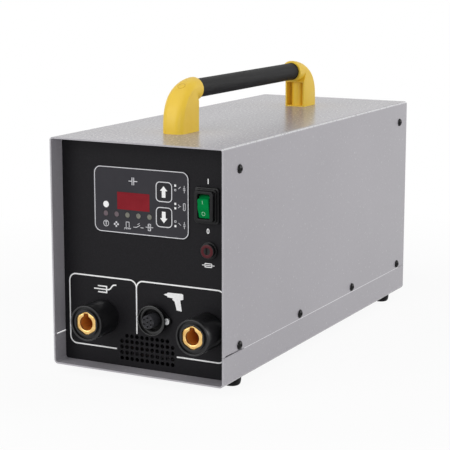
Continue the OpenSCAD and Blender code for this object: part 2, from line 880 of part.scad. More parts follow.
// One moulded end, its outer edge at y = 0 and its base at z = 0
module handle_end() {
    r = handle_round;
    difference() {
        union() {
            intersection() {
                translate([0, handle_curve, handle_foot]) rotate([90, 0, -90])
                    rotate_extrude(angle = 90) grip_section();
                along_y(-cut, handle_base) {
                    translate([-grip_r, 0]) square([handle_w, grip_axis_z]);
                    translate([0, grip_axis_z]) circle(grip_r);
                }
            }
            along_z(0, handle_foot) {
                translate([-grip_r, r]) square([handle_w, handle_base - r]);
                translate([r - grip_r, 0]) square([handle_w - 2 * r, handle_base]);
                for (s = [-1, 1])
                    translate([s * (grip_r - r), r]) circle(r);
            }
            translate([0, 0, grip_axis_z]) rod_y(handle_w, handle_base - 6, handle_curve);
        }
        translate([0, 0, grip_axis_z])
            rod_y(tube_d + 2 * fit_gap, handle_curve - tube_seat, handle_curve + cut);
        block(
            [pocket_wall - grip_r, handle_base - pocket_d, pocket_wall],
            [grip_r - pocket_wall, handle_base + cut, grip_axis_z - grip_r - pocket_wall / 2]
        );
        for (y = grip_screw_ys)
            translate([0, y, 0]) rod_z(grip_screw_d + 2 * run_gap, -cut, grip_screw_l + 2);
        handle_plug_place() rod_z(plug_d + 2 * fit_gap, handle_curve - plug_t, handle_curve + 2 * cut);
    }
}

// Puts a piece on the end's curve, pointing outwards along z
module handle_plug_place() {
    translate([0, handle_curve, handle_foot]) rotate([plug_angle, 0, 0]) children();
}

module at_front_end() {
    translate([0, grip_front_y, case_h]) children();
}

module at_rear_end() {
    translate([0, grip_rear_y, case_h]) mirror([0, 1, 0]) children();
}

module handle_end_front() {
    color("#e4be3c") placed() at_front_end() handle_end();
}

module handle_end_rear() {
    color("#e4be3c") placed() at_rear_end() handle_end();
}

module handle_screws() {
    color("gainsboro") placed()
        for (y = grip_screw_places())
            translate([0, y, 0]) {
                rod_z(grip_head_d, top_in - grip_head_h, top_in);
                rod_z(grip_screw_d, top_in, case_h + grip_screw_l);
            }
}

module handle_plug() {
    handle_plug_place() rod_z(plug_d, handle_curve - plug_t, handle_curve + plug_proud);
}

module handle_plugs() {
    color("#d9b038") placed() {
        at_front_end() handle_plug();
        at_rear_end() handle_plug();
    }
}

// Membrane panel and control board

module membrane_panel() {
    color("#3a3a3e") placed() along_y(recess - membrane_t, recess) difference() {
        translate([membrane_x, membrane_z]) round_rect(membrane_w, membrane_h, membrane_r);
        membrane_windows();
    }
}

module display_window() {
    color("#8a222b") placed() translate([display_x, 0, display_z]) along_y(recess - membrane_t, panel_back)
        square([display_w - 2 * fit_gap, display_h - 2 * fit_gap], center = true);
}

module key(z) {
    translate([key_x, 0, z]) {
        along_y(recess - membrane_t - key_proud, recess - key_proud) round_rect(key_w, key_h, key_r);
        rod_y(key_stem_d, recess - key_proud, board_y - tact_h - tact_gap);
    }
}

module up_key() {
    color("#3a3a3e") placed() key(up_z);
}

module down_key() {
    color("#3a3a3e") placed() key(down_z);
}

module status_lenses() {
    color("#8c8478") placed()
        for (x = lens_xs)
            translate([x, 0, lens_z]) rod_y(lens_d - 2 * fit_gap, recess - membrane_t, panel_back);
}

// Board with its two push switches and five lamps soldered on
module control_board() {
    color("#2f6b46") placed() {
        along_y(board_y, board_y + board_t) difference() {
            translate([membrane_x, membrane_z]) square([board_w, board_h], center = true);
            for (p = pillar_spots)
                translate(p) circle(d = m3 + hole_gap);
        }
        for (z = [up_z, down_z])
            translate([key_x, 0, z]) along_y(board_y - tact_h, board_y) square(tact_w, center = true);
        for (x = lens_xs)
            translate([x, 0, lens_z]) rod_y(m3, panel_back + seat_gap, board_y);
    }
}

module display_module() {
    color("#222222") placed() translate([display_x, 0, display_z]) along_y(panel_back + seat_gap, board_y)
        square([display_w + 3, display_h + 3], center = true);
}

module board_pillars() {
    color("gainsboro") placed()
        for (p = pillar_spots)
            translate([p[0], 0, p[1]]) difference() {
                rod_y(pillar_d, panel_back, board_y);
                rod_y(m3 + 2 * run_gap, panel_back + 2, board_y + cut);
            }
}

module board_screws() {
    color("gainsboro") placed()
        for (p = pillar_spots)
            translate([p[0], 0, p[1]]) {
                rod_y(m3_head_d, board_y + board_t, board_y + board_t + m3_head_h);
                rod_y(m3, board_y - 5, board_y + board_t);
            }
}

// Rocker switch

module switch_housing() {
    color("#1b1b1d") placed() translate([switch_x, 0, switch_z]) difference() {
        union() {
            along_y(recess - bezel_t, recess) round_rect(bezel_w, bezel_h, 2.4);
            along_y(recess, recess + housing_d) square([housing_w, housing_h], center = true);
        }
        along_y(recess - bezel_t - cut, pivot_y + hub_r + 2) square([well_w, well_h], center = true);
        translate([0, pivot_y, 0]) rod_x(pivot_d + 2 * run_gap, -pin_half - 0.3, pin_half + 0.3);
    }
}

module switch_boot() {
    color("#232325") placed() translate([switch_x, 0, switch_z]) {
        along_y(recess - bezel_t - boot_h / 2, recess - bezel_t) difference() {
            round_rect(bezel_w - 2.6, bezel_h - 2.4, 3.2);
            round_rect(well_w, boot_well_h, 1.6);
        }
        along_y(recess - bezel_t - boot_h, recess - bezel_t - boot_h / 2) difference() {
            round_rect(bezel_w - 5.4, bezel_h - 5, 2.6);
            round_rect(well_w, boot_well_h, 1.6);
        }
    }
}

module switch_rocker() {
    color("#0a8c46") placed() translate([switch_x, pivot_y, switch_z]) rotate([rocker_tilt, 0, 0]) {
        along_y(-rocker_reach, -hub_r + 1) round_rect(rocker_w, rocker_h, 1.5);
        block([-rocker_w / 2, -hub_r, -hub_r], [rocker_w / 2, 0, hub_r]);
        rod_x(2 * hub_r, -rocker_w / 2, rocker_w / 2);
        rod_x(pivot_d, -pin_half, pin_half);
    }
}

module switch_terminals() {
    color("#c9a24a") placed()
        for (sx = [-1, 1])
            for (sz = [-1, 1])
                translate([switch_x + sx * 5.5, 0, switch_z + sz * 7])
                    along_y(recess + housing_d, recess + housing_d + 10) square([0.8, 6.3], center = true);
}

// Fuse

module at_fuse() {
    placed() translate([fuse_x, 0, fuse_z]) children();
}

module fuse_holder() {
    color("#1b1b1d") at_fuse() difference() {
        union() {
            rod_y(fuse_flange_d, fuse_flange_y, recess);
            rod_y(fuse_barrel_d, recess, fuse_end_y);
        }
        rod_y(fuse_bore, fuse_flange_y - cut, fuse_end_y - 2);
    }
}

module fuse_cap() {
    color("#6e2026") at_fuse() difference() {
        union() {
            rod_y(fuse_cap_d, cap_front_y, fuse_flange_y - seat_gap);
            rod_y(fuse_bore - 2 * run_gap, fuse_flange_y - seat_gap, cap_back_y);
        }
        rod_y(cartridge_d + 2 * run_gap, cartridge_y, cap_back_y + cut);
        block([-1.2, cap_front_y - cut, -3.4], [1.2, cap_front_y + 1.6, 3.4]);
    }
}

module fuse_cartridge() {
    color("#cfd6d8") at_fuse() rod_y(cartridge_d, cartridge_y, cartridge_y + cartridge_l);
}

// Welding sockets

// Hexagon with its corners turned round, one corner upwards
module insert_section(gap) {
    intersection() {
        rotate(90) circle(d = (insert_flats + 2 * gap) / cos(30), $fn = 6);
        circle(d = insert_d + 2 * gap);
    }
}

module socket_shell(x) {
    placed() translate([x, 0, socket_z]) difference() {
        union() {
            rod_y(shell_d, socket_face, recess);
            rod_y(spigot_d, recess, spigot_end);
        }
        along_y(socket_face - cut, hex_end) insert_section(fit_gap);
        rod_y(stud_d + 2 * fit_gap, hex_end - cut, spigot_end + cut);
        along_y(socket_face - cut, socket_face + 2.5) difference() {
            circle(d = shell_d - 5);
            circle(d = insert_d + 3);
        }
    }
}

module socket_insert(x) {
    placed() translate([x, 0, socket_z]) difference() {
        union() {
            along_y(insert_face, hex_end) insert_section(0);
            rod_y(stud_d, hex_end, stud_end);
        }
        rod_y(plug_bore, insert_face - cut, insert_face + plug_depth);
        block([-keyway_w / 2, insert_face - cut, 0], [keyway_w / 2, insert_face + plug_depth, keyway_r]);
    }
}

module earth_socket_shell() {
    color("#1b1b1d") socket_shell(earth_x);
}

module earth_socket_insert() {
    color("#c8973c") socket_insert(earth_x);
}

module gun_socket_shell() {
    color("#1b1b1d") socket_shell(gun_x);
}

module gun_socket_insert() {
    color("#c8973c") socket_insert(gun_x);
}

module ring_nut(y0, h, wall, d) {
    along_y(y0, y0 + h) difference() {
        hexagon(d + 2 * wall);
        circle(d = d);
    }
}

// Ring nuts of both sockets and of the fuse holder, and the nuts on the sockets' studs
module panel_nuts() {
    color("gainsboro") placed() {
        for (x = [earth_x, gun_x])
            translate([x, 0, socket_z]) {
                ring_nut(panel_back, ring_nut_h, 2 * nut_wall, spigot_d + 2 * fit_gap);
                ring_nut(lug_y1, stud_nut_h, 1.7 * nut_wall, stud_d + 2 * run_gap);
            }
        translate([fuse_x, 0, fuse_z])
            ring_nut(panel_back, fuse_nut_h, nut_wall, fuse_barrel_d + 2 * fit_gap);
    }
}

// Control socket

module at_control() {
    placed() translate([control_x, 0, control_z]) children();
}

// Round middle with two round ends, joined by straight edges
module diamond() {
    mid_r = neck_d / 2 + 2.2;
    half = diamond_pitch / 2;
    turn = acos((mid_r - diamond_r) / half);
    mid_in = mid_r - 0.06;
    end_in = diamond_r - 0.06;
    circle(mid_r);
    for (s = [-1, 1])
        translate([s * half, 0]) circle(diamond_r);
    polygon([
        [mid_in * cos(turn), mid_in * sin(turn)],
        [half + end_in * cos(turn), end_in * sin(turn)],
        [half + end_in * cos(turn), -end_in * sin(turn)],
        [mid_in * cos(turn), -mid_in * sin(turn)],
        [-mid_in * cos(turn), -mid_in * sin(turn)],
        [-half - end_in * cos(turn), -end_in * sin(turn)],
        [-half - end_in * cos(turn), end_in * sin(turn)],
        [-mid_in * cos(turn), mid_in * sin(turn)]
    ]);
}

module control_socket_shell() {
    color("#1b1b1d") at_control() difference() {
        union() {
            along_y(diamond_front, recess) diamond();
            rod_y(ring_d, ring_face, ring_back);
            rod_y(neck_d, ring_back, diamond_front);
            rod_y(control_body_d, recess, control_back);
        }
        rod_y(ring_bore, ring_face - cut, ring_face + ring_l / 2);
        rod_y(neck_bore, ring_face, socket_floor);
        rod_y(contact_block_d + 2 * fit_gap, socket_floor - cut, control_back + cut);
        for (sx = [-1, 1])
            translate([sx * diamond_pitch / 2, 0, 0]) rod_y(m3 + hole_gap, diamond_front - cut, recess + cut);
    }
}

module control_socket_insert() {
    color("#3c3c40") at_control() along_y(block_face, control_back + 2) difference() {
        circle(d = contact_block_d);
        for (p = contact_spots)
            translate(p) circle(d = contact_d + 2 * run_gap);
    }
}

module control_socket_contacts() {
    color("#c9a24a") at_control()
        for (p = contact_spots)
            translate([p[0], 0, p[1]]) rod_y(contact_d, block_face + 1.2, control_back + 6);
}

// A pan-head screw and its nut at each end of the flange
module control_socket_screws() {
    color("gainsboro") at_control()
        for (sx = [-1, 1])
            translate([sx * diamond_pitch / 2, 0, 0]) {
                difference() {
                    union() {
                        rod_y(m3_head_d, diamond_front - m3_head_h, diamond_front);
                        rod_y(m3, diamond_front, panel_back + 4);
                    }
                    along_y(diamond_front - m3_head_h - cut, diamond_front - m3_head_h + 0.9) {
                        square([0.8, 4], center = true);
                        square([4, 0.8], center = true);
                    }
                }
                ring_nut(panel_back, 2.4, 1.2, m3 + 2 * run_gap);
            }
}

// Capacitor bank

module at_cans() {
    placed()
        for (x = can_xs)
            for (y = row_ys) translate([x, y, 0]) children();
}

// Posts stand before and behind each capacitor's middle
module at_posts() {
    at_cans()
        for (s = [-1, 1])
            translate([0, s * post_pitch / 2, 0]) children();
}

module capacitor_cans() {
    color("#2b4a7a") at_cans() difference() {
        rod_z(can_d, sheet, can_top);
        along_z(can_top - 1.5, can_top + cut) difference() {
            circle(d = can_d - 2);
            circle(d = can_d - 6);
        }
    }
}

module capacitor_terminals() {
    color("#c9a24a") at_posts() difference() {
        rod_z(post_d, can_top, post_top);
        rod_z(post_screw_d + 2 * run_gap, can_top + 1, post_top + cut);
    }
}

// Screws of the posts and of the thyristor, and the bolts of the straps' tongues
module terminal_screws() {
    color("gainsboro") {
        at_posts() {
            rod_z(post_head_d, bar_top, bar_top + 3);
            rod_z(post_screw_d, can_top + 1.5, bar_top);
        }
        placed() {
            for (y = [gate_post_y0, gate_post_y1])
                translate([sink_x, y, module_top + copper_t]) {
                    rod_z(post_head_d, 0, 3);
                    rod_z(post_screw_d, -copper_t - 8, 0);
                }
            for (p = tongue_bolts)
                translate([p[0], p[1], 0]) {
                    rod_z(post_head_d, bar_top + copper_t, bar_top + copper_t + 3);
                    rod_z(post_screw_d, can_top + 0.8, bar_top + copper_t);
                    along_z(post_top - 3.5, post_top) difference() {
                        hexagon(8);
                        circle(d = post_screw_d + 2 * run_gap);
                    }
                }
        }
    }
}

// Clamp plate on two legs, with holes in the legs that clear the clip nuts
module capacitor_bracket() {
    color("gainsboro") placed() difference() {
        translate([0, bank_y, 0]) {
            along_z(clamp_z, clamp_z + clamp_t) difference() {
                square([2 * clamp_half_w, 2 * clamp_half_l], center = true);
                for (x = can_xs)
                    for (s = [-1, 1])
                        translate([x, s * can_pitch / 2]) circle(d = can_d + 2 * fit_gap);
            }
            both_sides()
                block([clamp_half_w - clamp_t, -clamp_half_l, sheet], [clamp_half_w, clamp_half_l, clamp_z]);
        }
        for (p = low_row)
            translate([0, p[0], p[1]]) rod_x(clip_nut_d + 2, -half_w, half_w);
    }
}

// Holes of one row of posts, cut through a bar
module post_holes(y) {
    for (x = can_xs)
        translate([x, y]) circle(d = post_screw_d + hole_gap);
}

// Hole of a tongue's bolt through bar and tongue
module tongue_holes() {
    for (p = tongue_bolts)
        translate([p[0], p[1], 0]) rod_z(post_screw_d + hole_gap, post_top - cut, bar_top + copper_t + cut);
}

// Two strips over the outer posts and the link that joins them
module busbar_positive() {
    y1 = outer_post_y + bar_half;
    color("#b87333") placed() difference() {
        translate([0, bank_y, 0]) along_z(post_top, bar_top) difference() {
            union() {
                for (s = [-1, 1])
                    translate([-link_x0, s * outer_post_y - bar_half]) square([2 * link_x0, 2 * bar_half]);
                translate([link_x0 - 1, -y1]) square([link_w + 1, 2 * y1]);
            }
            post_holes(-outer_post_y);
            post_holes(outer_post_y);
        }
        tongue_holes();
    }
}

// One wide plate over the inner posts of both rows
module busbar_negative() {
    color("#b87333") placed() difference() {
        translate([0, bank_y, 0]) along_z(post_top, bar_top) difference() {
            square([2 * link_x0 - 4, 2 * (inner_post_y + bar_half)], center = true);
            post_holes(-inner_post_y);
            post_holes(inner_post_y);
        }
        tongue_holes();
    }
}

// Upright lug on a socket's stud, with the stud's hole
module strap_lug(x, z1) {
    along_y(lug_y0, lug_y1) translate([x, 0]) difference() {
        translate([-strap_w / 2, socket_z - strap_w / 2]) square([strap_w, z1 - socket_z + strap_w / 2]);
        translate([0, socket_z]) circle(d = stud_d + hole_gap);
    }
}

// From the earth socket's stud up, back over the positive bar and down to the negative bar
module earth_strap() {
    x0 = earth_x - strap_w / 2;
    x1 = earth_x + strap_w / 2;
    tongue_x0 = head_clear - can_pitch;
    tongue_y1 = bank_y - inner_post_y + bar_half + 2;
    step_y = earth_tongue_y - copper_t;
    run_z = bar_top + strap_rise;
    color("#b87333") placed() difference() {
        union() {
            strap_lug(earth_x, run_z + copper_t);
            block([x0, lug_y0, run_z], [x1, earth_tongue_y, run_z + copper_t]);
            block([tongue_x0, step_y, bar_top], [x1, earth_tongue_y, run_z + copper_t]);
            block([tongue_x0, step_y, bar_top], [x1, tongue_y1, bar_top + copper_t]);
        }
        tongue_holes();
    }
}

// From the gun socket's stud up and back to the thyristor's near terminal
module gun_strap() {
    half = strap_w / 2;
    z1 = module_top + copper_t;
    color("#b87333") placed() difference() {
        union() {
            strap_lug(gun_x, z1);
            block([sink_x - half, lug_y0, module_top], [gun_x + half, gate_post_y0 + half, z1]);
        }
        translate([sink_x, gate_post_y0, 0]) rod_z(post_screw_d + hole_gap, module_top - cut, z1 + cut);
    }
}

// From the thyristor's far terminal up to the positive bar
module thyristor_link() {
    x0 = sink_x - strap_w / 2;
    x1 = sink_x + strap_w / 2;
    tongue_x1 = can_pitch - head_clear;
    z1 = bar_top + copper_t;
    color("#b87333") placed() difference() {
        union() {
            block([x0, gate_post_y1 - strap_w / 2, module_top], [x1, rise_y, module_top + copper_t]);
            block([x0, rise_y - copper_t, module_top], [x1, rise_y, z1]);
            block([x0, rise_y - copper_t, bar_top], [tongue_x1, rise_y + 6, z1]);
            block([link_tongue_x, rise_y, bar_top], [tongue_x1, bank_y - outer_post_y + bar_half, z1]);
        }
        translate([sink_x, gate_post_y1, 0])
            rod_z(post_screw_d + hole_gap, module_top - cut, module_top + copper_t + cut);
        tongue_holes();
    }
}

// Charging gear

module thyristor_module() {
    color("#4a4a4a") placed() translate([sink_x, 0, 0]) difference() {
        block([-module_w / 2, module_y0, sink_top], [module_w / 2, module_y1, module_top]);
        for (y = [gate_post_y0, gate_post_y1])
            translate([0, y, 0]) rod_z(post_screw_d + hole_gap, module_top - 10, module_top + cut);
    }
}

module heat_sink() {
    pitch = (sink_w - fin_t) / (sink_fins - 1);
    color("#b9bcc0") placed() translate([sink_x, 0, 0]) along_y(sink_y0, sink_y1) {
        translate([-sink_w / 2, sink_top - sink_base_t]) square([sink_w, sink_base_t]);
        for (i = [0:sink_fins - 1])
            translate([i * pitch - sink_w / 2, sheet]) square([fin_t, sink_h]);
    }
}

// Stack of E and I sheets with a window on each side of the middle leg
module transformer_core() {
    half = core_t / 2;
    color("#6b6b70") placed() translate([core_x, core_y, core_z0]) along_y(-half, half) difference() {
        translate([-core_w / 2, 0]) square([core_w, core_h]);
        for (s = [-1, 1])
            translate([s * (leg_w + window_w) / 2, core_h / 2]) square([window_w, window_h], center = true);
    }
}

// Ring of windings around the middle leg
module transformer_winding() {
    color("#a5612c") placed() translate([core_x, core_y, core_z0 + core_h / 2])
        along_z(seat_gap - window_h / 2, window_h / 2 - seat_gap) difference() {
            square([leg_w + 2 * (window_w - seat_gap), core_t + 2 * winding_t], center = true);
            square([leg_w + 2 * seat_gap, core_t + 2 * seat_gap], center = true);
        }
}

module at_power_pillars() {
    placed()
        for (sx = [-1, 1])
            for (sy = [-1, 1])
                translate([sx * power_pillar_x, bank_y + sy * power_pillar_y, 0]) children();
}

// Board over the capacitor bank with its main parts soldered on
module power_board() {
    half_x = clamp_half_w - 2;
    top = power_z + power_part_h;
    color("#2f6b46") difference() {
        placed() translate([0, bank_y, 0]) {
            block([-half_x, -power_half_l, power_z], [half_x, power_half_l, power_z + board_t]);
            for (i = [-0.6, -0.24, 0.12])
                translate([i * half_x, -power_half_l / 3, 0]) rod_z(half_x / 5, power_z, top + 2);
            block([half_x * 0.3, -power_half_l / 2, power_z], [half_x * 0.7, power_half_l / 6, top]);
            block([-half_x * 0.7, power_half_l * 0.2, power_z], [half_x * 0.5, power_half_l * 0.5, top - 2]);
        }
        at_power_pillars() rod_z(m3 + hole_gap, power_z - cut, power_z + board_t + cut);
    }
}

// A pillar under each corner of the power board, and the screw that holds the board on it
module power_board_pillars() {
    color("gainsboro") at_power_pillars() {
        difference() {
            rod_z(power_pillar_d, clamp_z + clamp_t, power_z);
            rod_z(m3 + 2 * run_gap, power_z - 10, power_z + cut);
        }
        rod_z(m3, power_z - 8, power_z + board_t);
        rod_z(m3_head_d, power_z + board_t, power_z + board_t + m3_head_h);
    }
}

// Fan and inlet

function fan_screw_spots() = [
    for (sx = [-1, 1])
        for (sz = [-1, 1]) [sx * fan_pitch / 2, fan_z + sz * fan_pitch / 2]
];

module at_fan() {
    placed() translate([0, 0, fan_z]) children();
}

module fan_frame() {
    color("#202022") at_fan() {
        along_y(fan_y0, rear_in) difference() {
            round_rect(fan_w, fan_w, 4);
            circle(d = fan_bore);
            for (sx = [-1, 1])
                for (sz = [-1, 1])
                    translate([sx * fan_pitch / 2, sz * fan_pitch / 2]) circle(d = m4 + hole_gap);
        }
        difference() {
            union() {
                rod_y(hub_d, fan_y0, fan_y0 + 4);
                for (a = [45:90:315])
                    rotate([0, a, 0]) block([0, fan_y0, -2], [fan_bore / 2 + 1, fan_y0 + 3, 2]);
            }
            rod_y(m3 + 2 * run_gap, fan_y0 - cut, fan_y0 + 4 + cut);
        }
    }
}

module fan_rotor() {
    blade_r = fan_bore / 2 - tip_gap;
    blade_l = rotor_y1 - rotor_y0 - 2;
    mid = (rotor_y0 + rotor_y1) / 2;
    color("#2c2c2e") at_fan() {
        rod_y(hub_d, rotor_y0, rotor_y1);
        rod_y(m3, fan_y0 + 0.5, rotor_y0);
        intersection() {
            rod_y(2 * blade_r, rotor_y0, rotor_y1);
            for (i = [0:blades - 1])
                rotate([0, i * 360 / blades, 0]) translate([0, mid, 0]) rotate([blade_slant, 0, 0])
                    block([hub_d / 2 - 2, -blade_l / 2, -0.8], [blade_r + 2, blade_l / 2, 0.8]);
        }
    }
}

// Finger guard: rings on two crossed bars that end in screw eyes
module fan_guard() {
    eye_r = fan_pitch / 2 * sqrt(2);
    color("#d0d2d4") at_fan() along_y(rear_face, rear_face + wire_d) difference() {
        union() {
            for (r = guard_rings)
                difference() {
                    circle(r + wire_d / 2);
                    circle(r - wire_d / 2);
                }
            for (a = [45, 135])
                rotate(a) square([2 * eye_r, wire_d], center = true);
            for (a = [45:90:315])
                rotate(a) translate([eye_r, 0]) circle(d = 9);
        }
        for (a = [45:90:315])
            rotate(a) translate([eye_r, 0]) circle(d = m4 + hole_gap);
    }
}

// A screw and its nut in each corner of the fan
module fan_screws() {
    color("gainsboro") placed()
        for (p = fan_screw_spots())
            translate([p[0], 0, p[1]]) {
                rod_y(7, rear_face + wire_d, rear_face + wire_d + fan_head_h);
                rod_y(m4, fan_y0 - fan_nut_h - 1, rear_face + wire_d);
                ring_nut(fan_y0 - fan_nut_h, fan_nut_h, 1.5, m4 + 2 * run_gap);
            }
}

module at_inlet() {
    placed() translate([inlet_x, 0, inlet_z]) children();
}

// Flange and body with a cavity that has two cut corners
module mains_inlet() {
    color("#1b1b1d") at_inlet() difference() {
        union() {
            along_y(rear_face, inlet_face) difference() {
                round_rect(inlet_pitch + 10, inlet_body_h + 3, 5);
                for (s = [-1, 1])
                    translate([s * inlet_pitch / 2, 0]) circle(d = m3 + hole_gap);
            }
            along_y(inlet_back, rear_face) square([inlet_body_w, inlet_body_h], center = true);
        }
        along_y(inlet_floor, inlet_face + cut) polygon([
            [-cavity_w / 2, -cavity_h / 2],
            [cavity_w / 2, -cavity_h / 2],
            [cavity_w / 2, cavity_h / 2 - 5],
            [cavity_w / 2 - 5, cavity_h / 2],
            [5 - cavity_w / 2, cavity_h / 2],
            [-cavity_w / 2, cavity_h / 2 - 5]
        ]);
    }
}

module inlet_pins() {
    color("gainsboro") at_inlet()
        for (p = pin_spots)
            translate([p[0], 0, p[1]]) along_y(inlet_floor, inlet_face - 3) square(blade_pin, center = true);
}

// A screw and its nut at each end of the inlet's flange
module inlet_screws() {
    color("gainsboro") at_inlet()
        for (s = [-1, 1])
            translate([s * inlet_pitch / 2, 0, 0]) {
                rod_y(m3_head_d, inlet_face, inlet_face + m3_head_h);
                rod_y(m3, rear_in - 4, inlet_face);
                ring_nut(rear_in - 2.4, 2.4, 1.2, m3 + 2 * run_gap);
            }
}

base_tray();
hood();
front_panel();
rear_panel();
hood_screws();
clip_nuts();
rubber_feet();
foot_screws();
handle_tube();
handle_end_front();
handle_end_rear();
handle_screws();
handle_plugs();
membrane_panel();
display_window();
up_key();
down_key();
status_lenses();
control_board();
display_module();
board_pillars();
board_screws();
switch_housing();
switch_boot();
switch_rocker();
switch_terminals();
fuse_holder();
fuse_cap();
fuse_cartridge();
earth_socket_shell();
earth_socket_insert();
gun_socket_shell();
gun_socket_insert();
panel_nuts();
control_socket_shell();
control_socket_insert();
control_socket_contacts();
control_socket_screws();
capacitor_cans();
capacitor_terminals();
terminal_screws();
capacitor_bracket();
busbar_positive();
busbar_negative();
earth_strap();
gun_strap();
thyristor_link();
thyristor_module();
heat_sink();
transformer_core();
transformer_winding();
power_board();
power_board_pillars();
fan_frame();
fan_rotor();
fan_guard();
fan_screws();
mains_inlet();
inlet_pins();
inlet_screws();
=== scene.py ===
"""Looks of a stud welder power unit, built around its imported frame.

Shapes are given in case millimetres: x from the middle to the right, y from the front rim
to the rear, z up from the underside of the tray. A piece goes to the model's frame last.
"""

import logging
import math
from dataclasses import dataclass, field, replace
from enum import Enum
from typing import Callable, Sequence

import bmesh
import bpy
from mathutils import Matrix, Vector


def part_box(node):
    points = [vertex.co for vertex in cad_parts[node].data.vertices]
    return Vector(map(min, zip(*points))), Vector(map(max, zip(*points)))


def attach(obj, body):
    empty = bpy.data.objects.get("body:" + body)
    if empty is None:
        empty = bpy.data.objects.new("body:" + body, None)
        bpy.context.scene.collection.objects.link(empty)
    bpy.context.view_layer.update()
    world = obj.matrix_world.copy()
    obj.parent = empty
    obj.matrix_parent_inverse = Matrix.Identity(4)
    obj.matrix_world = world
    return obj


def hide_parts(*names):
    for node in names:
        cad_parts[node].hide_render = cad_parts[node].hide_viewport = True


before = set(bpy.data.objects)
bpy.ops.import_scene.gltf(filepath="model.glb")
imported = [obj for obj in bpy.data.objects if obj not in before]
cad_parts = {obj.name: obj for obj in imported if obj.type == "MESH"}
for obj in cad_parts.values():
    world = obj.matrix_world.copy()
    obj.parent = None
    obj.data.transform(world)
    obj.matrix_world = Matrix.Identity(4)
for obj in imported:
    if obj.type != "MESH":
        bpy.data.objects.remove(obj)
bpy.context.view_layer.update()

LOG = logging.getLogger("stud_welder")

MM = 0.001
MID_Y = 216.25
FOOT_H = 9.0
PANEL_Y = 18.0
TO_ROW = Matrix.Scale(MM, 4) @ Matrix.Translation((0.0, -MID_Y, FOOT_H))
FRONT = Vector((0.0, -1.0, 0.0))
REAR = Vector((0.0, 1.0, 0.0))
RIGHT = Vector((1.0, 0.0, 0.0))
UP = Vector((0.0, 0.0, 1.0))

Point = Sequence[float]
Colour = tuple[float, float, float, float]


def paint(code: str) -> Colour:
    """Turn a screen colour into the linear colour that a shader takes.

    Args:
        code: Six hexadecimal digits, red, green and blue.

    Returns:
        Linear red, green, blue and an alpha of one.
    """
    parts = [int(code[i:i + 2], 16) / 255.0 for i in (0, 2, 4)]
    linear = [p / 12.92 if p <= 0.04045 else ((p + 0.055) / 1.055) ** 2.4 for p in parts]
    return (linear[0], linear[1], linear[2], 1.0)


class Way(Enum):
    """A direction of the model's frame."""

    X = "X"
    Y = "Y"
    Z = "Z"


class End(Enum):
    """Which end of the handle a bracket holds."""

    FRONT = "front"
    REAR = "rear"


# Shader maths

class Sock:
    """An output socket of a shader node, with arithmetic on its value."""

    def __init__(self, graph: "Graph", socket: bpy.types.NodeSocket) -> None:
        """Keep the socket and the graph that it belongs to."""
        self.graph = graph
        self.socket = socket

    def _math(self, operation: str, first: "Value", second: "Value") -> "Sock":
        """Add one Math node."""
        return self.graph.node("ShaderNodeMath", {0: first, 1: second}, {"operation": operation})

    def __add__(self, other: "Value") -> "Sock":
        """Sum."""
        return self._math("ADD", self, other)

    __radd__ = __add__

    def __sub__(self, other: "Value") -> "Sock":
        """Difference."""
        return self._math("SUBTRACT", self, other)

    def __rsub__(self, other: "Value") -> "Sock":
        """Difference from a number."""
        return self._math("SUBTRACT", other, self)

    def __mul__(self, other: "Value") -> "Sock":
        """Product."""
        return self._math("MULTIPLY", self, other)

    __rmul__ = __mul__

    def __gt__(self, other: "Value") -> "Sock":
        """One where this is the greater."""
        return self._math("GREATER_THAN", self, other)

    def __or__(self, other: "Value") -> "Sock":
        """The larger of the two."""
        return self._math("MAXIMUM", self, other)

    def __abs__(self) -> "Sock":
        """Size without sign."""
        return self._math("ABSOLUTE", self, 0.0)


Value = Sock | float | Sequence[float]


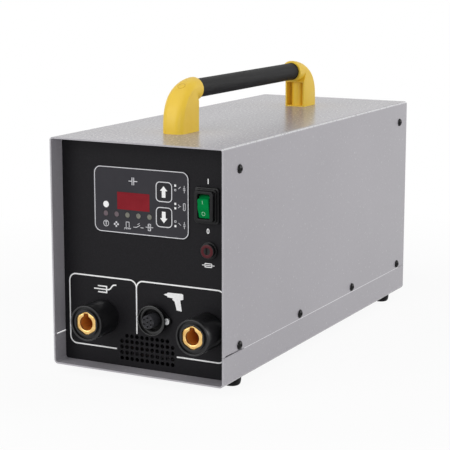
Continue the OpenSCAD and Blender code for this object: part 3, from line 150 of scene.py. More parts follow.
class Graph:
    """The node tree of one material or of the world."""

    def __init__(self, tree: bpy.types.NodeTree) -> None:
        """Start from an empty tree."""
        self.tree = tree
        self.tree.nodes.clear()

    def node(self, kind: str, inputs: dict | None = None, settings: dict | None = None,
             out: int | str = 0) -> Sock:
        """Add any node.

        Args:
            kind: The node's type.
            inputs: Values or links by socket name or number.
            settings: Properties that are set before the sockets.
            out: The output that is wanted.

        Returns:
            That output, ready for arithmetic.
        """
        made = self.tree.nodes.new(kind)
        for key, value in (settings or {}).items():
            setattr(made, key, value)
        for key, value in (inputs or {}).items():
            if isinstance(value, Sock):
                self.tree.links.new(value.socket, made.inputs[key])
            else:
                made.inputs[key].default_value = value
        return Sock(self, made.outputs[out] if len(made.outputs) else made.inputs[0])

    def place(self, scale: Point = (1.0, 1.0, 1.0)) -> Sock:
        """Give object coordinates, stretched by a scale."""
        raw = self.node("ShaderNodeTexCoord", out="Object")
        return self.node("ShaderNodeMapping", {"Vector": raw, "Scale": scale})

    def along(self, way: Way) -> Sock:
        """Give one object coordinate, in metres."""
        raw = self.node("ShaderNodeTexCoord", out="Object")
        return self.node("ShaderNodeSeparateXYZ", {"Vector": raw}, out=way.value)

    def noise(self, scale: float, detail: float = 2.0, stretch: Point = (1.0, 1.0, 1.0)) -> Sock:
        """Give cloudy noise with that many waves to the metre."""
        return self.node("ShaderNodeTexNoise", {
            "Vector": self.place(stretch), "Scale": scale, "Detail": detail, "Roughness": 0.55})

    def cells(self, scale: float) -> Sock:
        """Give the distance to the nearest of scattered points."""
        return self.node("ShaderNodeTexVoronoi", {"Vector": self.place(), "Scale": scale})

    def bands(self, scale: float, way: Way, distortion: float = 0.0) -> Sock:
        """Give parallel bands across one direction.

        Args:
            scale: Sets how close the bands lie.
            way: The direction that they follow each other in.
            distortion: How far they waver.

        Returns:
            Nought to one over each band.
        """
        return self.node("ShaderNodeTexWave", {
            "Vector": self.place(), "Scale": scale, "Distortion": distortion},
            {"wave_type": "BANDS", "bands_direction": way.value}, out="Fac")

    def span(self, value: Value, low: float, high: float) -> Sock:
        """Spread a range of a value over nought to one."""
        return self.node("ShaderNodeMapRange", {0: value, 1: low, 2: high, 3: 0.0, 4: 1.0})

    def blend(self, share: Value, first: Value, second: Value) -> Sock:
        """Mix two colours."""
        return self.node("ShaderNodeMix", {0: share, 6: first, 7: second},
                         {"data_type": "RGBA"}, out=2)

    def bump(self, height: Sock, strength: float, depth: float) -> Sock:
        """Turn a height into a normal; the depth is in metres."""
        return self.node("ShaderNodeBump", {
            "Height": height, "Strength": strength, "Distance": depth})

    def surface(self, base: Sock, roughness: Sock, normal: Sock | None = None,
                **plain: Value) -> None:
        """Close the graph with a principled surface.

        Args:
            base: Colour over the surface.
            roughness: Roughness over the surface.
            normal: Output of a bump, if there is one.
            plain: Other sockets, with underscores for the spaces in their names.
        """
        inputs: dict = {"Base Color": base, "Roughness": roughness}
        if normal is not None:
            inputs["Normal"] = normal
        inputs.update({key.replace("_", " "): value for key, value in plain.items()})
        shader = self.node("ShaderNodeBsdfPrincipled", inputs)
        self.node("ShaderNodeOutputMaterial", {"Surface": shader})


# Finishes

@dataclass(frozen=True)
class Finish:
    """A named finish; the kinds below say how it looks."""

    name: str

    def material(self) -> bpy.types.Material:
        """Give the material, made at its first use.

        Returns:
            The material of this finish.
        """
        label = f"{self.name}_look"
        made = bpy.data.materials.get(label)
        if made is None:
            made = bpy.data.materials.new(label)
            made.use_nodes = True
            self.dress(Graph(made.node_tree))
        return made

    def dress(self, g: Graph) -> None:
        """Fill the graph; each kind of finish has its own."""
        raise NotImplementedError


@dataclass(frozen=True)
class PowderCoat(Finish):
    """Baked powder with a speckled grain, orange peel, painted glints on the top, and painted
    highlights along rims and folds.

    A band is the distance from a rim or fold, in metres, where a tone begins and where it is full.
    """

    base: str = "AFACB2"
    light: str = "D6D5D9"
    dark: str = "858488"
    grain: float = 420.0
    fleck: float = 0.05
    rough: float = 0.26
    peel: float = 0.03
    gloss: float = 0.42
    rims: tuple[float, ...] = ()
    folds: tuple[float, float] = (1.0, 1.0)
    # Strength of the painted glints on the top, and the band where they begin.
    top_glints: float = 0.75
    top_glint_band: tuple[float, float] = (0.0008, 0.0001)
    # Colour and strength of the painted highlights along rims and folds.
    worn: str = "F4F4F6"
    rim_highlight: float = 0.14
    rim_band: tuple[float, float] = (0.0012, 0.0002)
    fold_band: tuple[float, float] = (0.0020, 0.0009)

    def dress(self, g: Graph) -> None:
        """Grain, slow drift in tone, peel, painted glints on the top, and painted highlights along
        rims and folds.

        Args:
            g: The material's graph.
        """
        fine = g.noise(self.grain, 3.0)
        drift = g.noise(7.0, 2.0)
        peel = g.noise(self.grain * 0.6, 2.0)
        share: Value = self.fleck
        if self.rims:
            x, y, z = abs(g.along(Way.X)), g.along(Way.Y), g.along(Way.Z)
            # Painted glints: light and dark flecks grow stronger on the top, where the overhead
            # light catches the peel.
            top = g.span(z, *(self.folds[1] - d for d in self.top_glint_band))
            share = top * self.top_glints + self.fleck
        tone = g.blend(g.span(drift, 0.25, 0.8) * 0.15, paint(self.base), paint(self.dark))
        tone = g.blend(g.span(fine, 0.54, 0.72) * share * 0.55, tone, paint(self.light))
        tone = g.blend(g.span(fine, 0.48, 0.30) * share, tone, paint(self.dark))
        if self.rims:
            near = g.span(abs(y - self.rims[0]), *self.rim_band)
            for rim in self.rims[1:]:
                near = near | g.span(abs(y - rim), *self.rim_band)
            fold = g.span(x, *(self.folds[0] - d for d in self.fold_band))
            fold = fold * g.span(z, *(self.folds[1] - d for d in self.fold_band))
            # Painted highlight: a paler line along the front and rear rims of the sheet.
            tone = g.blend(near * self.rim_highlight, tone, paint(self.worn))
            # Painted highlight: a pale line along the fold from top to side, broken by the grain.
            tone = g.blend(fold * g.span(fine, 0.30, 0.46), tone, paint(self.worn))
        rough = (fine - 0.5) * 0.08 + self.rough
        g.surface(tone, rough, g.bump(peel + fine * 0.7, self.peel, 0.0004),
                  Specular_IOR_Level=self.gloss)


@dataclass(frozen=True)
class Moulded(Finish):
    """Moulded plastic with a spark-eroded grain and faint flow marks."""

    base: str = "1B1B1D"
    shade: str = "121214"
    rough: float = 0.42
    grain: float = 1500.0
    depth: float = 0.10
    gloss: float = 0.4
    coat: float = 0.0

    def dress(self, g: Graph) -> None:
        """Tone drift, fine grain and handling marks.

        Args:
            g: The material's graph.
        """
        flow = g.noise(38.0, 4.0, (1.0, 1.0, 0.45))
        fine = g.noise(self.grain, 2.0)
        rub = g.noise(150.0, 5.0)
        tone = g.blend(g.span(flow, 0.3, 0.75), paint(self.base), paint(self.shade))
        rough = (rub - 0.5) * 0.22 + (fine - 0.5) * 0.1 + self.rough
        g.surface(tone, rough, g.bump(fine, self.depth, 0.0002),
                  Specular_IOR_Level=self.gloss, Coat_Weight=self.coat, Coat_Roughness=0.2)


@dataclass(frozen=True)
class Rubber(Finish):
    """Dull rubber with a dusty bloom."""

    base: str = "0A0A0C"
    bloom: str = "19191B"
    rough: float = 0.5
    gloss: float = 0.12

    def dress(self, g: Graph) -> None:
        """Bloom in patches over a fine pitted skin.

        Args:
            g: The material's graph.
        """
        patch = g.noise(90.0, 4.0)
        pits = g.cells(900.0)
        tone = g.blend(g.span(patch, 0.45, 0.8), paint(self.base), paint(self.bloom))
        g.surface(tone, (patch - 0.5) * 0.3 + self.rough, g.bump(pits, 0.12, 0.0002),
                  Specular_IOR_Level=self.gloss)


@dataclass(frozen=True)
class Metal(Finish):
    """Bare or plated metal with drawing lines along one direction and some tarnish."""

    base: str = "C9CBCE"
    tarnish: str = "8E9094"
    rough: float = 0.3
    lines: Way = Way.Y
    line_depth: float = 0.08
    metallic: float = 1.0
    gloss: float = 0.5

    def dress(self, g: Graph) -> None:
        """Drawing lines, tarnish in patches and a varying polish.

        Args:
            g: The material's graph.
        """
        stretch = {Way.X: (0.04, 1.0, 1.0), Way.Y: (1.0, 0.04, 1.0), Way.Z: (1.0, 1.0, 0.04)}
        drawn = g.noise(1900.0, 3.0, stretch[self.lines])
        stain = g.noise(110.0, 5.0)
        tone = g.blend(g.span(stain, 0.42, 0.82) * 0.7, paint(self.base), paint(self.tarnish))
        rough = (drawn - 0.5) * 0.25 + (stain - 0.5) * 0.2 + self.rough
        g.surface(tone, rough, g.bump(drawn, self.line_depth, 0.0002), Metallic=self.metallic,
                  Specular_IOR_Level=self.gloss)


@dataclass(frozen=True)
class DeepBrass(Finish):
    """Turned brass, bright at the socket's face, with painted shade darkening it in its bore."""

    base: str = "F0CB86"
    edge: str = "CF9C55"
    bore_shade: str = "D38A38"
    face: float = (-11.9 - MID_Y) * MM
    bore_shade_band: tuple[float, float] = (0.0009, 0.004)

    def dress(self, g: Graph) -> None:
        """Turning marks, and painted shade that grows with the depth.

        Args:
            g: The material's graph.
        """
        depth = g.span(g.along(Way.Y) - self.face, *self.bore_shade_band)
        marks = g.noise(1600.0, 3.0, (1.0, 0.1, 1.0))
        stain = g.noise(260.0, 4.0)
        tone = g.blend(g.span(stain, 0.38, 0.68) * 0.8, paint(self.base), paint(self.edge))
        # Painted shade: a darker, browner tone deeper in the bore.
        tone = g.blend(depth, tone, paint(self.bore_shade))
        rough = (marks - 0.5) * 0.2 + (stain - 0.5) * 0.15 + 0.26 + depth * 0.25
        g.surface(tone, rough, g.bump(marks, 0.1, 0.0002), Metallic=1.0 - depth * 0.6)


@dataclass(frozen=True)
class StreakedTube(Finish):
    """Black grip tube with fine streaks along its length."""

    base: str = "121213"
    streak: str = "282829"

    def dress(self, g: Graph) -> None:
        """Long streaks in tone, roughness and relief.

        Args:
            g: The material's graph.
        """
        long_marks = g.noise(900.0, 3.0, (1.0, 0.03, 1.0))
        short_marks = g.noise(420.0, 4.0, (1.0, 0.16, 1.0))
        marks = long_marks * 0.6 + short_marks * 0.4
        tone = g.blend(g.span(marks, 0.44, 0.60), paint(self.base), paint(self.streak))
        g.surface(tone, (marks - 0.5) * 0.4 + 0.55, g.bump(marks, 0.4, 0.0003),
                  Specular_IOR_Level=0.14)


@dataclass(frozen=True)
class Film(Finish):
    """Matt printed film over a control panel."""

    base: str = "38373C"
    shade: str = "323136"

    def dress(self, g: Graph) -> None:
        """A velvet grain and a slow drift in tone.

        Args:
            g: The material's graph.
        """
        grain = g.noise(2600.0, 2.0)
        drift = g.noise(22.0, 3.0)
        tone = g.blend(g.span(drift, 0.3, 0.7), paint(self.base), paint(self.shade))
        g.surface(tone, (grain - 0.5) * 0.15 + 0.5, g.bump(grain, 0.08, 0.0001),
                  Specular_IOR_Level=0.15)


@dataclass(frozen=True)
class Ink(Finish):
    """Screen-printed ink, a little uneven where the mesh left it thin."""

    base: str = "F4F4F4"
    thin: str = "D0D0D2"

    def dress(self, g: Graph) -> None:
        """Thin patches and a fine weave from the printing mesh.

        Args:
            g: The material's graph.
        """
        patch = g.noise(420.0, 3.0)
        weave = g.bands(1500.0, Way.X) * g.bands(1500.0, Way.Z)
        tone = g.blend(g.span(patch, 0.5, 0.8) * 0.6 + weave * 0.08, paint(self.base),
                       paint(self.thin))
        g.surface(tone, (patch - 0.5) * 0.2 + 0.55, Specular_IOR_Level=0.3)


@dataclass(frozen=True)
class Window(Finish):
    """Dark red filter over a number display."""

    base: str = "8E222C"
    shade: str = "7E1923"

    def dress(self, g: Graph) -> None:
        """A faint fine pattern, darker towards the edges of each band.

        Args:
            g: The material's graph.
        """
        drift = g.noise(60.0, 2.0)
        lines = g.bands(520.0, Way.Z)
        tone = g.blend(g.span(drift, 0.3, 0.7) * 0.7 + lines * 0.2, paint(self.base),
                       paint(self.shade))
        g.surface(tone, (lines - 0.5) * 0.06 + 0.3, Specular_IOR_Level=0.1)


@dataclass(frozen=True)
class Lens(Finish):
    """Unlit lamp lenses: reddish on the left of the row, grey-green on the right."""

    left: str = "66545E"
    right: str = "7A796E"
    haze: str = "575650"
    border: float = -0.0236

    def dress(self, g: Graph) -> None:
        """Colour by place in the row, with a cloudy diffusing body.

        Args:
            g: The material's graph.
        """
        side = g.along(Way.X) > self.border
        cloud = g.noise(700.0, 3.0)
        tone = g.blend(side, paint(self.left), paint(self.right))
        tone = g.blend(g.span(cloud, 0.4, 0.7) * 0.5, tone, paint(self.haze))
        g.surface(tone, (cloud - 0.5) * 0.1 + 0.3, g.bump(cloud, 0.06, 0.0001))


@dataclass(frozen=True)
class Board(Finish):
    """Circuit board with solder mask over tracks and tinned pads."""

    mask: str = "1C4A2E"
    track: str = "2F6B43"
    pad: str = "B9B4A2"

    def dress(self, g: Graph) -> None:
        """Tracks in two directions with pads where they thicken.

        Args:
            g: The material's graph.
        """
        tracks = g.bands(330.0, Way.X, 3.0) * g.bands(260.0, Way.Z, 2.0)
        pads = g.cells(240.0)
        tone = g.blend(g.span(tracks, 0.3, 0.5), paint(self.mask), paint(self.track))
        tone = g.blend(g.span(pads, 0.16, 0.12), tone, paint(self.pad))
        g.surface(tone, (tracks - 0.5) * 0.1 + 0.4, g.bump(tracks, 0.15, 0.0001))


@dataclass(frozen=True)
class Stacked(Finish):
    """Stacked laminations or close turns of wire: lines across one direction."""

    base: str = "5B5E62"
    gap: str = "26282B"
    scale: float = 144.0
    across: Way = Way.Y
    metallic: float = 0.6
    rough: float = 0.45

    def dress(self, g: Graph) -> None:
        """Even lines with a stain over them.

        Args:
            g: The material's graph.
        """
        lines = g.bands(self.scale, self.across, 0.4)
        stain = g.noise(70.0, 4.0)
        tone = g.blend(g.span(lines, 0.65, 0.2), paint(self.base), paint(self.gap))
        tone = g.blend(g.span(stain, 0.5, 0.8) * 0.4, tone, paint(self.gap))
        g.surface(tone, (stain - 0.5) * 0.2 + self.rough, g.bump(lines, 0.4, 0.0003),
                  Metallic=self.metallic)


GREY_COAT = PowderCoat("grey_powder_coat", rims=(-MID_Y * MM, (445.0 - MID_Y) * MM),
                       folds=(90.0 * MM, (215.0 + FOOT_H) * MM))
# Near-white paint for the seam strips: a painted highlight on the sheet edges at the seam.
SEAM_HIGHLIGHT_COAT = PowderCoat("seam_highlight_paint", base="EDECF0", light="FAFAFC", dark="A9A8AC",
                       grain=300.0, fleck=0.7)
BLACK_COAT = PowderCoat("black_powder_coat", base="1B1A1D", light="29282B", dark="131315",
                        grain=900.0, fleck=0.6, rough=0.5, peel=0.1, gloss=0.12)
BLACK_STEEL = Metal("blackened_steel", base="09090B", tarnish="100F0E", rough=0.2,
                    metallic=0.0, gloss=0.16)
ZINC = Metal("zinc_steel", base="C6C8CA", tarnish="9A9788", rough=0.28)
# Near-white, partly diffuse zinc: zinc with a painted highlight, for the flange screw heads.
ZINC_AND_HIGHLIGHT = Metal("zinc_and_painted_highlight", base="F6F7F8", tarnish="DEDFE0", rough=0.4, metallic=0.4)
BLACK_RUBBER = Rubber("black_rubber")
BOOT_RUBBER = Rubber("boot_rubber", base="0C0C0E", bloom="1E1E20", rough=0.45, gloss=0.24)
YELLOW = Moulded("yellow_plastic", base="FDD642", shade="F6CB3A", rough=0.4, grain=900.0,
                 depth=0.06, gloss=0.45)
# Darker yellow for the rings round the plugs: painted shade in the seam gap.
YELLOW_SEAM_SHADE = Moulded("yellow_seam_shade", base="D6AE36", shade="C69C2C", rough=0.6,
                      grain=900.0)
GRIP = StreakedTube("black_aluminium")
FILM = Film("membrane_film")
KEY_FILM = Film("key_film", base="2D2C30", shade="27262A")
WHITE_INK = Ink("white_ink", base="FFFFFF", thin="E6E6E8")
PALE_INK = Ink("pale_ink", base="E2E2E6", thin="C8C8CD")
ROCKER_INK = Ink("rocker_ink", base="B4DEC2", thin="93CBA8")
RED_WINDOW = Window("red_window")
LENS = Lens("lens_plastic")
BOARD = Board("circuit_board")
BLACK_PLASTIC = Moulded("black_plastic", base="171719", shade="101012", gloss=0.3)
SOFT_BLACK = Moulded("soft_black_plastic", base="19191B", shade="121214", rough=0.32, gloss=0.4)
DEEP_BLACK = Moulded("deep_black_plastic", base="0A0A0B", shade="070708", rough=0.5, gloss=0.12)
RING_BLACK = Moulded("ring_black_plastic", base="0D0D0F", shade="09090A", rough=0.24, gloss=0.6)
GREEN = Moulded("green_plastic", base="008443", shade="00783B", rough=0.36, gloss=0.03)
DARK_RED = Moulded("dark_red_plastic", base="541820", shade="46131A", rough=0.4, gloss=0.2)
CERAMIC = Moulded("fuse_ceramic", base="DEDAD0", shade="CBC6BA", rough=0.3)
BRASS = Metal("brass", base="E3B45C", tarnish="B9822F", rough=0.22)
# Nearly black brass for the control contacts: painted shade of the holes they sit in.
SHADED_BRASS = Metal("brass_in_painted_shade", base="241B0E", tarnish="120D07", rough=0.5, metallic=0.3)
SOCKET_BRASS = DeepBrass("socket_brass")
INSERT = Moulded("insert_plastic", base="3F3F43", shade="343437", rough=0.5, gloss=0.2)
SLEEVE = Moulded("can_sleeve", base="23303F", shade="1B2633", rough=0.3, coat=0.3)
COPPER = Metal("copper", base="D08860", tarnish="96573A", rough=0.32, lines=Way.X)
WINDING = Stacked("copper_winding", base="B8683A", gap="5A2C18", scale=176.0, across=Way.Z,
                  metallic=0.8)
SINK = Metal("sink_aluminium", base="B9BCC0", tarnish="96999E", rough=0.4)
CORE = Stacked("core_steel")


# Shaping

class Shape:
    """A mesh under construction, in case millimetres."""

    def __init__(self) -> None:
        """Start with nothing."""
        self.bm = bmesh.new()

    def copy_node(self, node: str) -> "Shape":
        """Take a merged copy of a CAD node, its flat faces whole again.

        Args:
            node: The node's name.

        Returns:
            This shape.
        """
        self.bm.from_mesh(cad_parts[node].data)
        bmesh.ops.transform(self.bm, matrix=TO_ROW.inverted(), verts=self.bm.verts)
        bmesh.ops.remove_doubles(self.bm, verts=self.bm.verts, dist=0.004)
        bmesh.ops.dissolve_limit(self.bm, angle_limit=math.radians(0.6), verts=self.bm.verts,
                                 edges=self.bm.edges, use_dissolve_boundaries=False)
        return self

    def soften(self, offset: float, angle: float = 40.0, segments: int = 3,
               where: Callable[[Vector], bool] | None = None) -> "Shape":
        """Round the edges that are sharper than an angle.

        Args:
            offset: Width of the rounding.
            angle: Least angle between the faces, in degrees.
            segments: Steps in the rounding.
            where: Test of an edge's middle, if only some edges are meant.

        Returns:
            This shape.
        """
        self.bm.normal_update()
        limit = math.radians(angle)
        sharp = [e for e in self.bm.edges if len(e.link_faces) == 2
                 and e.calc_face_angle(0.0) > limit
                 and (where is None or where((e.verts[0].co + e.verts[1].co) / 2))]
        bmesh.ops.bevel(self.bm, geom=sharp, offset=offset, segments=segments, profile=0.5,
                        affect="EDGES", material=-1, clamp_overlap=True)
        return self

    def loop(self, points: Sequence[Point], closed: bool = True) -> list:
        """Add a chain of edges through points.

        Args:
            points: The corners in order.
            closed: True to join the last to the first.

        Returns:
            The edges.
        """
        verts = [self.bm.verts.new(p) for p in points]
        pairs = list(zip(verts, verts[1:]))
        if closed:
            pairs.append((verts[-1], verts[0]))
        return [self.bm.edges.new(pair) for pair in pairs]

    def loft(self, rings: Sequence[Sequence[Point]], first: bool = True,
             last: bool = True) -> "Shape":
        """Bridge one ring to the next.

        Args:
            rings: Closed rings with the same number of points.
            first: True to close the first ring with a face.
            last: True to close the last ring with a face.

        Returns:
            This shape.
        """
        loops = [self.loop(ring) for ring in rings]
        for near, far in zip(loops, loops[1:]):
            bmesh.ops.bridge_loops(self.bm, edges=near + far)
        for chain, wanted in ((loops[0], first), (loops[-1], last)):
            if wanted:
                bmesh.ops.edgeloop_fill(self.bm, edges=chain)
        bmesh.ops.recalc_face_normals(self.bm, faces=self.bm.faces)
        return self

    def lathe(self, profile: Sequence[Point], origin: Point, axis: Vector, steps: int = 48,
              closed: bool = False) -> "Shape":
        """Turn a profile once round an axis.

        Args:
            profile: Pairs of radius and distance along the axis.
            origin: Point on the axis.
            axis: Direction of the axis.
            steps: Steps in the turn.
            closed: True for a profile that closes on itself.

        Returns:
            This shape.
        """
        held = set(self.bm.verts)
        side = axis.orthogonal().normalized()
        centre = Vector(origin)
        chain = self.loop([centre + axis * t + side * r for r, t in profile], closed)
        verts = list(dict.fromkeys(v for e in chain for v in e.verts))
        bmesh.ops.spin(self.bm, geom=verts + chain, cent=centre, axis=axis, dvec=(0, 0, 0),
                       angle=math.tau, steps=steps, use_merge=True, use_duplicate=False)
        new = [v for v in self.bm.verts if v not in held]
        bmesh.ops.remove_doubles(self.bm, verts=new, dist=0.0005)
        bmesh.ops.recalc_face_normals(self.bm, faces=self.bm.faces)
        return self

    def slab(self, outline: Sequence[Point], depth: Vector) -> "Shape":
        """Raise a flat outline into a solid.

        Args:
            outline: Corners of the flat face.
            depth: How far and which way it is raised.

        Returns:
            This shape.
        """
        face = bmesh.ops.edgeloop_fill(self.bm, edges=self.loop(outline))["faces"][0]
        self.raise_faces([face], depth, True)
        return self

    def raise_faces(self, faces: list, depth: Vector, keep: bool) -> list:
        """Extrude faces by a vector.

        Args:
            faces: The faces to move.
            depth: How far and which way.
            keep: True to leave the old faces as the other end of a solid.

        Returns:
            The moved faces.
        """
        made = bmesh.ops.extrude_face_region(self.bm, geom=faces)["geom"]
        verts = [g for g in made if isinstance(g, bmesh.types.BMVert)]
        bmesh.ops.translate(self.bm, vec=depth, verts=verts)
        if not keep:
            bmesh.ops.delete(self.bm, geom=faces, context="FACES_ONLY")
        return [g for g in made if isinstance(g, bmesh.types.BMFace)]

    def join_rims(self) -> "Shape":
        """Bridge the two open rims."""
        bmesh.ops.bridge_loops(self.bm, edges=[e for e in self.bm.edges if e.is_boundary])
        return self

    def ordered(self) -> "Shape":
        """Put vertices and faces in the order of their places, the same at each run.

        Returns:
            This shape.
        """
        spots: dict = {v: v.co.to_tuple(3) for v in self.bm.verts}
        spots.update({f: f.calc_center_median().to_tuple(3) for f in self.bm.faces})
        for items in (self.bm.verts, self.bm.faces):
            ranks = {item: k for k, item in enumerate(sorted(items, key=spots.get))}
            items.sort(key=ranks.get)
        return self

    def mirrored(self, point: Point, normal: Point) -> "Shape":
        """Flip the whole shape in a plane.

        Args:
            point: A point of the plane.
            normal: Its normal.

        Returns:
            This shape.
        """
        flip = Matrix.Scale(-1.0, 4, Vector(normal))
        shift = Matrix.Translation(point)
        bmesh.ops.transform(self.bm, matrix=shift @ flip @ shift.inverted(), verts=self.bm.verts)
        return self


class Maker:
    """Turns shapes into pieces of the model and dresses CAD nodes."""

    def piece(self, name: str, shape: Shape, finish: Finish, body: str = "case",
              replaces: Sequence[str] = (),
              crease: float = 38.0) -> None:
        """Make a piece from a shape.

        Args:
            name: The piece's name.
            shape: Its shape, which is used up.
            finish: Its finish.
            body: The body that it rides on.
            replaces: CAD nodes that it stands for.
            crease: Angle in degrees past which an edge is shown sharp.
        """
        bm = shape.ordered().bm
        bmesh.ops.recalc_face_normals(bm, faces=bm.faces)
        bmesh.ops.transform(bm, matrix=TO_ROW, verts=bm.verts)
        mesh = bpy.data.meshes.new(name)
        bm.to_mesh(mesh)
        bm.free()
        mesh.materials.append(finish.material())
        mesh.shade_smooth()
        mesh.set_sharp_from_angle(angle=math.radians(crease))
        made = bpy.data.objects.new(name, mesh)
        bpy.context.scene.collection.objects.link(made)
        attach(made, body)
        if replaces:
            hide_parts(*replaces)
        LOG.info("piece %s on %s, %d faces", name, body, len(mesh.polygons))

    def dress(self, finish: Finish, *nodes: str) -> None:
        """Give CAD nodes a finish.

        Args:
            finish: The finish.
            nodes: Names of the nodes.
        """
        for node in nodes:
            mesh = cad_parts[node].data
            mesh.materials.clear()
            mesh.materials.append(finish.material())
            LOG.info("node %s in %s", node, finish.name)


def even_angles(count: int) -> list[float]:
    """Give that many even angles once round, in radians."""
    return [math.tau * k / count for k in range(count)]


def round_path(points: Sequence[Point], radius: float, closed: bool, steps: int = 8) -> list:
    """Round the corners of a flat path.

    Args:
        points: Corners of the path.
        radius: Radius at each corner.
        closed: True for a path that closes on itself.
        steps: Points along each rounded corner, less one.

    Returns:
        The points of the rounded path.
    """
    corners = [Vector(p) for p in points]
    count = len(corners)
    path: list[Vector] = []
    for i, corner in enumerate(corners):
        if not closed and i in (0, count - 1):
            path.append(corner)
            continue
        back = (corners[i - 1] - corner).normalized()
        ahead = (corners[(i + 1) % count] - corner).normalized()
        half = back.angle(ahead) / 2
        reach = radius / math.tan(half)
        centre = corner + (back + ahead).normalized() * radius / math.sin(half)
        start = corner + back * reach - centre
        turn = start.angle_signed(corner + ahead * reach - centre)
        for k in range(steps + 1):
            path.append(centre + Matrix.Rotation(-turn * k / steps, 2) @ start)
    return path


@dataclass
class Print:
    """Marks of ink on a flat face."""

    origin: Vector
    across: Vector
    up: Vector
    out: Vector
    thick: float = 0.07
    shape: Shape = field(default_factory=Shape)

    def spot(self, point: Point) -> Vector:
        """Put a flat point on the face."""
        return self.origin + self.across * point[0] + self.up * point[1]

    def at(self, point: Point) -> "Print":
        """Give the same print with its origin moved to a point."""
        return replace(self, origin=self.spot(point))

    def patch(self, points: Sequence[Point]) -> None:
        """Fill an outline."""
        self.shape.slab([self.spot(p) for p in points], self.out * self.thick)

    def disc(self, centre: Point, radius: float) -> None:
        """Fill a circle."""
        self.patch(self.circle(centre, radius))

    def circle(self, centre: Point, radius: float, high: float = 1.0, count: int = 28) -> list:
        """Give the points of a circle, or of an oval.

        Args:
            centre: Its middle.
            radius: Half of its width.
            high: Height over width.
            count: Number of points.

        Returns:
            The points in order.
        """
        return [(centre[0] + radius * math.cos(a), centre[1] + radius * high * math.sin(a))
                for a in even_angles(count)]

    def line(self, points: Sequence[Point], width: float, closed: bool = False) -> None:
        """Draw a line of even width.

        Args:
            points: The middle of the line.
            width: Its width.
            closed: True for a line that closes on itself.
        """
        path = [Vector(p) for p in points]
        count = len(path)
        sides: tuple[list, list] = ([], [])
        for i, p in enumerate(path):
            before = path[i - 1] if closed or i else None
            after = path[(i + 1) % count] if closed or i < count - 1 else None
            into = (p - before).normalized() if before is not None else None
            away = (after - p).normalized() if after is not None else None
            into, away = into or away, away or into
            mean = (into + away).normalized()
            square = Vector((-mean.y, mean.x))
            reach = width / 2 / max(0.3, mean.dot(away))
            sides[0].append(self.spot(p + square * reach))
            sides[1].append(self.spot(p - square * reach))
        edges = self.shape.loop(sides[0], closed) + self.shape.loop(sides[1], closed)
        faces = bmesh.ops.bridge_loops(self.shape.bm, edges=edges)["faces"]
        self.shape.raise_faces(faces, self.out * self.thick, True)

    @staticmethod
    def corners(centre: Point, width: float, height: float) -> list:
        """Give the corners of a rectangle."""
        return [(centre[0] + sx * width / 2, centre[1] + sz * height / 2)
                for sx, sz in ((-1, -1), (1, -1), (1, 1), (-1, 1))]

    def frame(self, centre: Point, size: Point, width: float, radius: float) -> None:
        """Draw the line of a rounded rectangle, inside its outer size."""
        corners = self.corners(centre, size[0] - width, size[1] - width)
        self.line(round_path(corners, radius, True), width, True)

    def block(self, centre: Point, size: Point) -> None:
        """Fill a rectangle."""
        self.patch(self.corners(centre, size[0], size[1]))


def before_panel(point: Vector) -> bool:
    """True for a point in front of the panel's face."""
    return point.y < PANEL_Y - 0.1


def front_print(y: float) -> Print:
    """Give a print on a face towards the front, in case x and z."""
    return Print(Vector((0, y, 0)), RIGHT, UP, FRONT)


def polar_ring(centre: Point, y: float, radius: Callable[[float], float],
               angles: Sequence[float]) -> list:
    """Give a ring in a plane across y.

    Args:
        centre: Case x and z of the middle.
        y: Place along the case.
        radius: Radius at an angle from upright.
        angles: The angles, in radians.

    Returns:
        The points of the ring.
    """
    return [(centre[0] + radius(a) * math.sin(a), y, centre[1] + radius(a) * math.cos(a))
            for a in angles]


def hexagon_radius(flats: float, angle: float) -> float:
    """Give the radius of a hexagon at an angle from a corner, by its width across flats."""
    step = math.pi / 3
    return flats / 2 / math.cos((angle % step) - step / 2)


# Sub-assemblies

